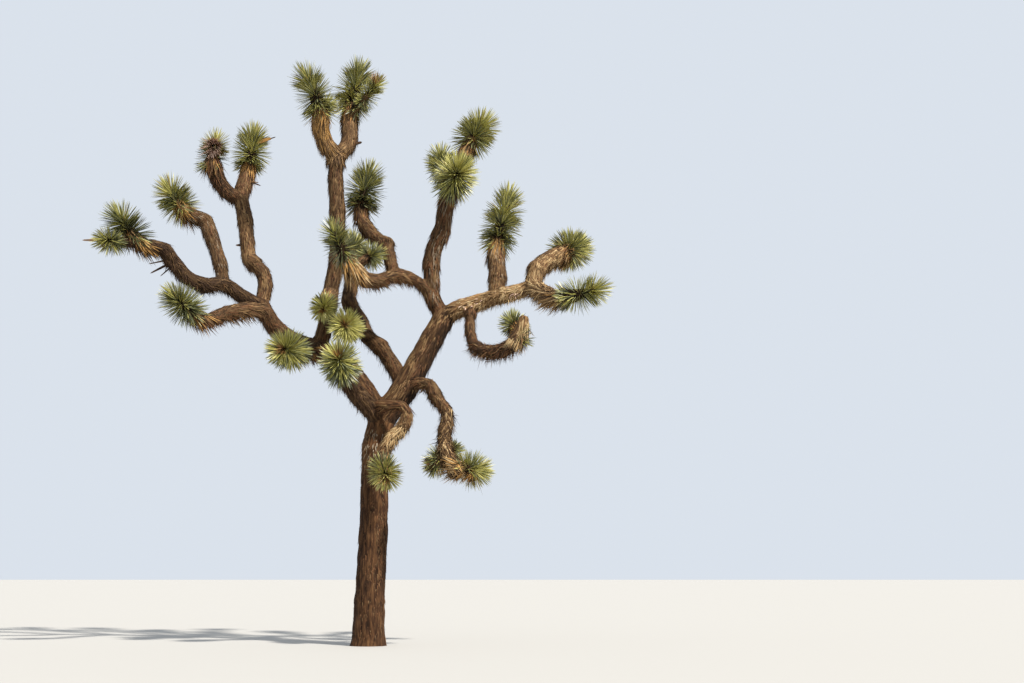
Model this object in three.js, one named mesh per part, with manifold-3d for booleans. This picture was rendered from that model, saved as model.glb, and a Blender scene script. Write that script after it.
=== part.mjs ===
// A joshua tree, Yucca brevifolia, as it grows in open desert: a stout trunk that forks at about 3 m,
// crooked limbs of nearly even thickness, and a tuft of dagger leaves round the end of every limb.
// Millimetres, +Z up, the origin at the middle of the flat cut under the trunk, the front towards -Y.
// Each limb, and each tuft with its own stem, is one closed solid, 0.3 mm or more clear of the next.

import * as THREE from "three";
import { mergeVertices } from "three/addons/utils/BufferGeometryUtils.js";
import Module from "manifold-3d";

const wasm = await Module();
wasm.setup();

// Gaps between solids
const JOINT_GAP = 0.4; // a limb's outline is grown by this where it cuts its neighbour
const LEAF_GAP = 3; // a leaf is tested this much thicker and longer than it is
const SPACE_GAP = 14; // a leaf keeps this far inside its own tuft's share of the space
const SLIVER = 0.05; // details finer than this are cleaned away after a cut
const SAME_POINT = 1e-3; // vertices of a shape that lie this near are one

// Limbs
const LIMB_SIDES = 8;
const TRUNK_SIDES = 12;
const RING_STEP = 340; // the furthest that two rings along a limb are apart
const KNEE_TENSION = 0.3; // how round a knee is: 0 is a sharp corner, 0.5 an even curve
const KNOB = 0.05; // share of the radius by which a limb swells at each old flowering point
const KNOB_REACH = 60; // how far that swelling spreads along the limb
const RUGGED = 0.03; // share of the radius by which a ring's corners wander
const FIRST_SIDE = new THREE.Vector3(0, -1, 0.2); // the side of a limb or stem on which its first corner lies
const FIRST_SEED = 11; // each limb, then each tuft, takes the next seed
const DOME = 0.55; // how far a limb's rounded end stands past its last knee, in radii
const DOME_WIDTH = 0.55; // how wide that end is at its tip, in the same

// The trunk's foot
const ROOT_FLARE = 32; // how much the trunk's radius gains at the ground
const FLARE_HEIGHT = 300; // height over which the flare dies away
const FOOT_SUNK = 120; // the trunk is made this much too long and then cut level with the ground

// Tufts and their leaves
const GOLDEN_ANGLE = Math.PI * (3 - Math.sqrt(5));
const LEAF_WIDTH = 0.27; // of its tuft's reach, as a share
const LEAF_THICKNESS = 0.05; // the same
const LEAF_FOOT = 0.7; // how far out a leaf's foot lies in the core, as a share of the core's radius
const LEAF_EVERY = 18; // millimetres of leafy stem for one leaf
const LEAVES_LEAST = 10; // added to that in every tuft, round the tip
const LOWEST_ANGLE = 2.25; // radians from the stem's tip at which the lowest leaves hang back
const HIGHEST_ANGLE = 0.2; // the same for the spear of young leaves at the tip
const ANGLE_WANDER = 0.16;
const SHORTEST = 0.9; // the shortest leaf's tip stands this share of the reach from the stem
const CORE_SIDES = 6;
const CORE_WIDTH = 0.42; // radius of the dense heart of a tuft, as a share of its reach
const CORE_SHOULDER = 0.9; // the core reaches its width over this many of its radii below the lowest leaves
const SHOULDER_LEAST = 0.4; // but the bare stem keeps at least this share of its length
const CORE_CROWN = [[0, 0.95], [0.6, 0.72], [0.95, 0.25]]; // its rounded top: [height, width] in its radii
const NECK = 0.95; // the tuft's stem against the tip of its limb
const STEM_BEND = 1 / 3; // a stem leaves its limb along the limb for this share of its length, then turns
const LEAF_TILT = 0.4; // how far a leaf's flat face turns away from the stem's tip
const LEAF_TESTS = [0.4, 0.7, 1]; // places along a leaf, as shares, that have to lie in its tuft's own space
const STEM_SAMPLES = 4; // stretches of leafy stem that the distance to a tuft is measured from

const BARK = new THREE.MeshStandardMaterial({ color: 0x5b4030, roughness: 0.95, metalness: 0 });
const THATCH = new THREE.MeshStandardMaterial({ color: 0x77573a, roughness: 0.95, metalness: 0 });
const LEAF = new THREE.MeshStandardMaterial({ color: 0x6f7d3d, roughness: 0.6, metalness: 0 });

// A limb grows in runs, from one flowering point to the next, and bends at each such knee. A run is
// [length, lean to the right of upright in degrees, turn towards the front in degrees]. A limb stands on a
// knee of another, knee 0 being that limb's own foot, and tapers from the first radius to the second.
const LIMBS = {
  trunk: {
    radius: [198, 180],
    runs: [[580, 1, 0], [770, 2, 0], [790, 1, 1], [430, 1, 2], [380, 10, -2]],
  },
  right_bough: {
    on: ["trunk", 5],
    radius: [182, 147],
    runs: [[510, 36, -1], [430, 27, -4], [360, 28, -2], [320, 28, -3]],
  },
  left_bough: {
    on: ["trunk", 5],
    radius: [160, 114],
    runs: [
      [470, -33, -9],
      [450, -37, -14],
      [480, -58, -10],
      [370, -70, -14],
      [370, -53, -12],
      [400, -34, -12],
    ],
  },
  left_riser: {
    on: ["left_bough", 6],
    radius: [97, 106],
    runs: [
      [350, 4, -20],
      [230, -18, -21],
      [310, -44, -15],
      [330, -12, -18],
      [390, -11, -18],
      [310, -16, -13],
    ],
  },
  riser_west: {
    on: ["left_riser", 6],
    radius: [100, 116],
    runs: [[230, -61, 4], [240, -37, 10], [200, -17, 11]],
  },
  riser_east: {
    on: ["left_riser", 6],
    radius: [98, 108],
    runs: [[210, 0, -28], [240, 7, -20]],
  },
  far_left_arm: {
    on: ["left_bough", 6],
    radius: [100, 97],
    runs: [
      [270, -67, 26],
      [340, -58, 24],
      [280, -109, 41],
      [280, -71, 32],
      [300, -40, 32],
      [190, -32, 44],
      [220, -83, 33],
    ],
  },
  far_left_riser: {
    on: ["far_left_arm", 2],
    radius: [86, 101],
    runs: [[370, -14, -12], [380, -22, -13], [290, -24, -11], [200, -66, -5]],
  },
  low_left_arm: {
    on: ["left_bough", 5],
    radius: [90, 92],
    runs: [[300, -38, 31], [330, -98, 51], [330, -122, 53], [290, -134, 50]],
  },
  crown_riser: {
    on: ["left_bough", 3],
    radius: [106, 102],
    runs: [[380, 15, -3], [450, 6, -1], [500, 9, -1], [620, -1, -2], [520, -5, -2], [360, 0, -1]],
  },
  top_west: {
    on: ["crown_riser", 6],
    radius: [104, 118],
    runs: [[210, -46, 28], [230, -18, 21], [150, 0, 10]],
  },
  top_east: {
    on: ["crown_riser", 6],
    radius: [104, 116],
    runs: [[200, 43, -25], [210, 11, -30], [240, -4, -20]],
  },
  front_spur: {
    on: ["trunk", 5],
    radius: [124, 108],
    runs: [[270, -49, 53], [310, -43, 40], [280, -33, 43]],
  },
  front_left_spur: {
    on: ["left_bough", 3],
    radius: [100, 92],
    runs: [[270, -120, 70], [290, -117, 63]],
  },
  mid_bough: {
    on: ["right_bough", 1],
    radius: [108, 94],
    runs: [
      [380, -27, -20],
      [350, -34, -20],
      [280, -48, -18],
      [330, -26, -26],
      [390, -32, -27],
      [340, -1, -33],
      [440, -3, -37],
    ],
  },
  mid_spur: {
    on: ["mid_bough", 4],
    radius: [86, 84],
    runs: [[340, 176, 68], [260, -141, 66]],
  },
  centre_riser: {
    on: ["right_bough", 4],
    radius: [107, 110],
    runs: [[320, -30, -2], [220, -2, 7], [250, -3, 4], [230, 11, 10], [260, 25, 9], [300, 8, 8]],
  },
  centre_north: {
    on: ["centre_riser", 6],
    radius: [96, 100],
    runs: [[420, 11, -36], [500, 14, -33], [290, 14, -30]],
  },
  cross_limb: {
    on: ["centre_riser", 1],
    radius: [72, 105],
    runs: [[230, -41, 25], [230, -67, 30], [220, -91, 37], [250, -119, 33], [210, -97, 42], [180, -56, 43]],
  },
  cross_riser: {
    on: ["cross_limb", 3],
    radius: [80, 96],
    runs: [[340, -15, -24], [270, -19, -37], [300, -47, -36], [340, -36, -34]],
  },
  right_arm: {
    on: ["right_bough", 4],
    radius: [124, 97],
    runs: [[210, 60, 10], [230, 73, 9], [330, 74, 13], [280, 79, 11], [250, 74, 15]],
  },
  hook_drop: {
    on: ["right_arm", 2],
    radius: [60, 70],
    runs: [[230, -171, 26], [260, 179, 32], [250, 166, 35]],
  },
  hook_rise: {
    on: ["hook_drop", 3],
    radius: [78, 98],
    runs: [[240, 127, 40], [260, 97, 35], [220, 69, 31]],
  },
  hook_spur: {
    on: ["hook_rise", 3],
    radius: [115, 62],
    runs: [[180, 30, 0], [180, 12, 0]],
  },
  right_riser: {
    on: ["right_arm", 3],
    radius: [106, 118],
    runs: [[370, 4, -27], [290, -5, -34]],
  },
  right_shoulder: {
    on: ["right_arm", 5],
    radius: [112, 125],
    runs: [[310, 11, -29], [260, 40, -42], [250, 50, -43]],
  },
  right_reach: {
    on: ["right_arm", 5],
    radius: [106, 108],
    runs: [[240, 137, 52], [230, 129, 45]],
  },
  drooping_arm: {
    on: ["right_bough", 1],
    radius: [70, 82],
    runs: [[260, 75, 33], [240, 111, 47], [240, 155, 38], [280, 142, 23]],
  },
  drooping_tail: {
    on: ["drooping_arm", 4],
    radius: [74, 94],
    runs: [[160, 179, 22], [200, -171, 17], [190, 176, 18], [190, 153, 22]],
  },
  front_loop: {
    on: ["trunk", 5],
    radius: [66, 66],
    runs: [[320, -3, 62], [180, 94, 27], [160, 98, 14], [120, 138, 9]],
  },
  loop_return: {
    on: ["front_loop", 4],
    radius: [74, 90],
    runs: [[190, -161, 3], [190, -134, 0], [160, -151, 3]],
  },
};

// A tuft stands on a limb's last knee unless it names another. Its stem is one run, to the heart of the tuft,
// of which the last part, leafy long, carries the living leaves. Reach is how far they stand from the stem.
const TUFTS = {
  tuft_top_west: { on: ["top_west", 3], stem: [530, -18, 13], leafy: 440, reach: 338 },
  tuft_top_west_side: { on: ["top_west", 3], stem: [340, 6, -36], leafy: 120, reach: 223 },
  tuft_top_east: { on: ["top_east", 3], stem: [830, 6, -11], leafy: 480, reach: 353 },
  tuft_top_east_side: { on: ["top_east", 3], stem: [690, 36, 16], leafy: 140, reach: 233 },
  tuft_riser_west: { on: ["riser_west", 3], stem: [320, 2, 4], leafy: 260, reach: 280 },
  tuft_riser_east: { on: ["riser_east", 2], stem: [640, 4, -13], leafy: 380, reach: 341 },
  tuft_far_left_riser: { on: ["far_left_riser", 4], stem: [450, -44, 1], leafy: 230, reach: 338 },
  tuft_far_left: { on: ["far_left_arm", 7], stem: [470, -47, 26], leafy: 250, reach: 331 },
  tuft_far_left_low: { on: ["far_left_arm", 7], stem: [620, -95, 47], leafy: 150, reach: 228 },
  tuft_low_left: { on: ["low_left_arm", 4], stem: [580, -64, 46], leafy: 220, reach: 294 },
  tuft_front_left: { on: ["front_left_spur", 2], stem: [320, -110, 70], leafy: 190, reach: 315 },
  tuft_front: { on: ["front_spur", 3], stem: [400, -17, 58], leafy: 210, reach: 307 },
  tuft_mid: { on: ["mid_spur", 2], stem: [340, -138, 81], leafy: 190, reach: 275 },
  tuft_hanging: { on: ["crown_riser", 2], stem: [590, -177, 55], leafy: 140, reach: 225 },
  tuft_cross_west: { on: ["cross_limb", 6], stem: [590, -31, 28], leafy: 330, reach: 271 },
  tuft_cross_back: { on: ["cross_limb", 6], stem: [560, 27, -48], leafy: 130, reach: 229 },
  tuft_mid_back: { on: ["mid_bough", 7], stem: [530, -6, -41], leafy: 210, reach: 294 },
  tuft_cross_riser: { on: ["cross_riser", 4], stem: [790, 0, -18], leafy: 420, reach: 342 },
  tuft_centre_front: { on: ["centre_riser", 6], stem: [580, 25, 41], leafy: 200, reach: 342 },
  tuft_centre_back: { on: ["centre_riser", 6], stem: [820, -6, -16], leafy: 240, reach: 286 },
  tuft_centre_north: { on: ["centre_north", 3], stem: [560, 24, -20], leafy: 230, reach: 368 },
  tuft_right_riser: { on: ["right_riser", 2], stem: [1060, 9, -21], leafy: 700, reach: 342 },
  tuft_right_shoulder: { on: ["right_shoulder", 3], stem: [540, 52, -47], leafy: 210, reach: 341 },
  tuft_right_reach: { on: ["right_reach", 2], stem: [630, 89, 29], leafy: 370, reach: 290 },
  tuft_hook: { on: ["hook_rise", 3], stem: [430, -3, -38], leafy: 130, reach: 225 },
  tuft_droop_left: { on: ["drooping_tail", 3], stem: [230, -146, -31], leafy: 120, reach: 235 },
  tuft_droop_back: { on: ["drooping_tail", 3], stem: [290, 83, -69], leafy: 100, reach: 180 },
  tuft_droop_right: { on: ["drooping_tail", 4], stem: [340, 108, -20], leafy: 150, reach: 285 },
  tuft_loop: { on: ["loop_return", 3], stem: [440, 176, 30], leafy: 130, reach: 252 },
};

// Small tools

// A repeatable stream of numbers from 0 to 1.
function seeded(seed) {
  let state = seed >>> 0;
  return () => {
    state = (state + 0x6d2b79f5) >>> 0;
    let t = Math.imul(state ^ (state >>> 15), 1 | state);
    t = (t + Math.imul(t ^ (t >>> 7), 61 | t)) ^ t;
    return ((t ^ (t >>> 14)) >>> 0) / 4294967296;
  };
}

const mix = THREE.MathUtils.lerp;

// The point that one run leads to.
function stepFrom(from, [length, lean, toward]) {
  const a = THREE.MathUtils.degToRad(lean);
  const b = THREE.MathUtils.degToRad(toward);
  const run = new THREE.Vector3(Math.sin(a) * Math.cos(b), -Math.sin(b), Math.cos(a) * Math.cos(b));
  return from.clone().addScaledVector(run, length);
}

// The part of a vector that is square to an axis, at unit length.
function squareTo(vector, axis) {
  return vector.clone().addScaledVector(axis, -vector.dot(axis)).normalize();
}

// A geometry as a closed solid that can be cut and joined.
function solidOf(geometry) {
  const bare = geometry.clone();
  bare.deleteAttribute("normal");
  bare.deleteAttribute("uv");
  const merged = mergeVertices(bare, SAME_POINT);
  return new wasm.Manifold(
    new wasm.Mesh({
      numProp: 3,
      vertProperties: merged.attributes.position.array,
      triVerts: new Uint32Array(merged.index.array),
    }),
  );
}

function geometryOf(solid) {
  const mesh = solid.getMesh();
  const geometry = new THREE.BufferGeometry();
  geometry.setAttribute("position", new THREE.BufferAttribute(mesh.vertProperties, 3));
  geometry.setIndex(new THREE.BufferAttribute(mesh.triVerts, 1));
  geometry.computeVertexNormals();
  return geometry;
}

function boxesMeet(a, b, margin = 0) {
  const [p, q] = [a.boundingBox(), b.boundingBox()];
  return [0, 1, 2].every((i) => p.min[i] - margin < q.max[i] && q.min[i] - margin < p.max[i]);
}

// What is left of a solid once its neighbours are cut out of it: its largest single body.
function cutClear(solid, neighbours) {
  let left = solid;
  for (const other of neighbours) if (boxesMeet(left, other)) left = left.subtract(other);
  return left.simplify(SLIVER).decompose().sort((a, b) => b.volume() - a.volume())[0];
}

// A closed tube through rings, each { centre, tangent, radius }: a cylinder bent ring by ring. The corners of
// each ring follow on from the last without twisting, and wander gives each corner its own share of radius.
function tubeThrough(rings, sides, wander) {
  const steps = rings.length - 1;
  const geometry = new THREE.CylinderGeometry(1, 1, steps, sides, steps);
  const position = geometry.attributes.position;
  const ringSides = [];
  for (const { tangent } of rings) ringSides.push(squareTo(ringSides.at(-1) ?? FIRST_SIDE, tangent));
  for (let i = 0; i < position.count; i++) {
    const ring = Math.round(position.getY(i) + steps / 2);
    const { centre, tangent, radius } = rings[ring];
    const turn = Math.atan2(position.getX(i), position.getZ(i)) / (2 * Math.PI) + 1;
    const corner = Math.round(turn * sides) % sides;
    const angle = (corner / sides) * 2 * Math.PI;
    const spread = Math.hypot(position.getX(i), position.getZ(i));
    const reach = spread * radius * (1 + wander(ring, corner));
    const out = ringSides[ring].clone().applyAxisAngle(tangent, angle);
    const point = centre.clone().addScaledVector(out, reach);
    position.setXYZ(i, point.x, point.y, point.z);
  }
  return solidOf(geometry);
}

// Limbs

const limbs = new Map();

// Works out a limb's knees and the curve through them.
function planLimb(name, { on, radius, runs }, seed) {
  const knees = [on ? limbs.get(on[0]).knees[on[1]].clone() : new THREE.Vector3()];
  for (const run of runs) knees.push(stepFrom(knees.at(-1), run));
  const curve = new THREE.CatmullRomCurve3(knees, false, "catmullrom", KNEE_TENSION);
  limbs.set(name, { name, on, radius, runs, knees, curve, seed });
}

// The rings of a limb, one at each knee and evenly between, then one that rounds off its end.
function limbRings({ on, radius, runs, curve }, grown) {
  const whole = runs.reduce((sum, [run]) => sum + run, 0);
  const rings = [];
  const addRing = (run, share, done) => {
    const place = (run + share) / runs.length;
    const toKnee = Math.min(share, 1 - share) * runs[Math.min(run, runs.length - 1)][0];
    const swell = 1 + KNOB * Math.exp(-((toKnee / KNOB_REACH) ** 2));
    const centre = curve.getPoint(place);
    const flare = on ? 0 : ROOT_FLARE * Math.exp(-centre.z / FLARE_HEIGHT);
    const wide = mix(radius[0], radius[1], done / whole) * swell + flare + grown;
    rings.push({ centre, tangent: curve.getTangent(place), radius: wide });
  };
  let done = 0;
  runs.forEach(([length], run) => {
    const parts = Math.ceil(length / RING_STEP);
    for (let i = 0; i < parts; i++) addRing(run, i / parts, done + (length * i) / parts);
    done += length;
  });
  addRing(runs.length, 0, whole);
  const [first, last] = [rings[0], rings.at(-1)];
  first.centre.addScaledVector(first.tangent, on ? -grown : -FOOT_SUNK);
  rings.push({
    centre: last.centre.clone().addScaledVector(last.tangent, last.radius * DOME),
    tangent: last.tangent,
    radius: last.radius * DOME_WIDTH,
  });
  return rings;
}

function limbSolid(limb, grown) {
  const random = seeded(limb.seed);
  const sides = limb.on ? LIMB_SIDES : TRUNK_SIDES;
  const rings = limbRings(limb, grown);
  const rough = rings.map(() => Array.from({ length: sides }, () => RUGGED * (2 * random() - 1)));
  const tube = tubeThrough(rings, sides, (ring, corner) => rough[ring][corner]);
  return limb.on ? tube : tube.trimByPlane([0, 0, 1], 0);
}

// Tufts

const tufts = new Map();

// Works out a tuft's stem, which leaves its limb in the limb's own direction and bends to the tuft's heart.
function planTuft(name, { on, stem, leafy, reach }, seed) {
  const limb = limbs.get(on[0]);
  const foot = limb.knees[on[1]];
  const heart = stepFrom(foot, stem);
  const last = on[1] === limb.knees.length - 1;
  const leaving = last ? limb.curve.getTangent(1) : heart.clone().sub(foot).normalize();
  const bend = foot.clone().addScaledVector(leaving, stem[0] * STEM_BEND);
  const curve = new THREE.QuadraticBezierCurve3(foot, bend, heart);
  const length = curve.getLength();
  const core = reach * CORE_WIDTH;
  const neck = Math.min(limb.radius[last ? 1 : 0] * NECK, core);
  tufts.set(name, { name, curve, length, start: length - leafy, leafy, reach, core, neck, seed });
}

// The place and direction at a distance along a tuft's stem, which may lie a little past its end.
function onStem({ curve, length }, at) {
  const share = THREE.MathUtils.clamp(at / length, 0, 1);
  const tangent = curve.getTangentAt(share);
  return { centre: curve.getPointAt(share).addScaledVector(tangent, at - share * length), tangent };
}

// The stem's own thickness up to the lowest leaves, then the dense heart of the tuft.
function coreSolid(tuft, grown) {
  const { start, length, core, neck } = tuft;
  const shoulder = Math.max(start - CORE_SHOULDER * core, SHOULDER_LEAST * start);
  const profile = [[0, neck], [shoulder, neck], [start, core]];
  for (const [height, width] of CORE_CROWN) profile.push([length + height * core, width * core]);
  const rings = profile.map(([at, radius]) => ({ ...onStem(tuft, at), radius: radius + grown }));
  rings[0].centre.addScaledVector(rings[0].tangent, -grown);
  return tubeThrough(rings, CORE_SIDES, () => 0);
}

// How far a point is from a tuft's leafy stem, as a share of that tuft's reach.
function shareOfReach(tuft, point) {
  let least = Infinity;
  for (let i = 0; i <= STEM_SAMPLES; i++) {
    const at = tuft.start + (tuft.leafy * i) / STEM_SAMPLES;
    least = Math.min(least, onStem(tuft, at).centre.distanceTo(point));
  }
  return least / tuft.reach;
}

// A tuft keeps to its own space: a point belongs to the tuft that it is least far out of.
function inOwnSpace(tuft, point) {
  const own = shareOfReach(tuft, point) + SPACE_GAP / tuft.reach;
  for (const other of tufts.values()) {
    if (other !== tuft && shareOfReach(other, point) < own) return false;
  }
  return true;
}

// One leaf: a flat three-sided spike from its foot in the core to its point.
function leafSolid({ foot, along, flatTo, length, reach }, grown) {
  const cone = new THREE.ConeGeometry(1, length + grown, 3, 1);
  cone.translate(0, (length + grown) / 2, 0);
  cone.scale((reach * LEAF_WIDTH) / Math.sqrt(3) + grown, 1, (reach * LEAF_THICKNESS) / 1.5 + grown);
  const across = new THREE.Vector3().crossVectors(along, flatTo).normalize();
  const face = new THREE.Vector3().crossVectors(across, along).normalize();
  cone.applyMatrix4(new THREE.Matrix4().makeBasis(across, along, face).setPosition(foot));
  return solidOf(cone);
}

// The leaves' places, by one rule: a golden spiral up the leafy stem, hanging back at its foot, standing
// out in the middle and closing round the tip.
function* leafPlaces(tuft) {
  const random = seeded(tuft.seed);
  const count = LEAVES_LEAST + Math.round(tuft.leafy / LEAF_EVERY);
  const inside = tuft.core * LEAF_FOOT;
  let side = FIRST_SIDE;
  for (let i = 0; i < count; i++) {
    const share = (i + 0.5) / count;
    const even = Math.acos(mix(Math.cos(LOWEST_ANGLE), Math.cos(HIGHEST_ANGLE), share));
    const angle = even + ANGLE_WANDER * (random() - 0.5);
    const { centre, tangent } = onStem(tuft, tuft.start + tuft.leafy * share);
    side = squareTo(side, tangent);
    const out = side.clone().applyAxisAngle(tangent, i * GOLDEN_ANGLE);
    const along = tangent.clone().multiplyScalar(Math.cos(angle)).addScaledVector(out, Math.sin(angle));
    const length = tuft.reach * mix(SHORTEST, 1, random()) - inside;
    const foot = centre.clone().addScaledVector(along, inside);
    const flatTo = tangent.clone().addScaledVector(out, -LEAF_TILT);
    yield { foot, along, flatTo, length, reach: tuft.reach };
  }
}

function tuftSolid(tuft, core, obstacles) {
  const near = obstacles.filter((solid) => boxesMeet(core, solid, tuft.reach));
  const kept = [core];
  for (const leaf of leafPlaces(tuft)) {
    const points = LEAF_TESTS.map((s) => leaf.foot.clone().addScaledVector(leaf.along, s * leaf.length));
    if (!points.every((point) => inOwnSpace(tuft, point))) continue;
    const probe = leafSolid(leaf, LEAF_GAP);
    const touches = near.some((solid) => boxesMeet(probe, solid) && !probe.intersect(solid).isEmpty());
    if (!touches) kept.push(leafSolid(leaf, 0));
  }
  return wasm.Manifold.union(kept).simplify(SLIVER);
}

// The whole tree

const tree = new THREE.Group();
tree.name = "joshua_tree";

function addPiece(name, solid, material) {
  const mesh = new THREE.Mesh(geometryOf(solid), material);
  mesh.name = name;
  tree.add(mesh);
}

let seed = FIRST_SEED;
for (const [name, limb] of Object.entries(LIMBS)) planLimb(name, limb, seed++);
for (const [name, tuft] of Object.entries(TUFTS)) planTuft(name, tuft, seed++);

const solids = new Map();
const outlines = []; // every finished limb, grown by the gap between solids
for (const limb of limbs.values()) {
  solids.set(limb.name, cutClear(limbSolid(limb, 0), outlines));
  outlines.push(limbSolid(limb, JOINT_GAP));
}
const cores = new Map();
const coreOutlines = new Map();
for (const tuft of tufts.values()) {
  cores.set(tuft.name, cutClear(coreSolid(tuft, 0), [...outlines, ...coreOutlines.values()]));
  coreOutlines.set(tuft.name, coreSolid(tuft, JOINT_GAP));
}
for (const tuft of tufts.values()) {
  const others = [...coreOutlines].filter(([name]) => name !== tuft.name).map(([, solid]) => solid);
  const done = [...tufts.keys()].filter((name) => solids.has(name)).map((name) => solids.get(name));
  solids.set(tuft.name, tuftSolid(tuft, cores.get(tuft.name), [...outlines, ...others, ...done]));
}
for (const [name, solid] of solids) {
  const limbMaterial = name === "trunk" || name.endsWith("bough") ? BARK : THATCH;
  addPiece(name, solid, tufts.has(name) ? LEAF : limbMaterial);
}

export default tree;
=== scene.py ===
"""A joshua tree in a plain studio: bark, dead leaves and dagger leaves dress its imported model.

Metres, +Z up, the front towards -Y. The bark is one skin over all limbs, blended at the forks and then
cut into pieces. Every leaf, living or dead, is a closed three-sided spike, made from arrays by one rule
for each kind.
"""

import math
from dataclasses import dataclass, replace

import bpy
import numpy as np
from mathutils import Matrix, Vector, noise


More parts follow.
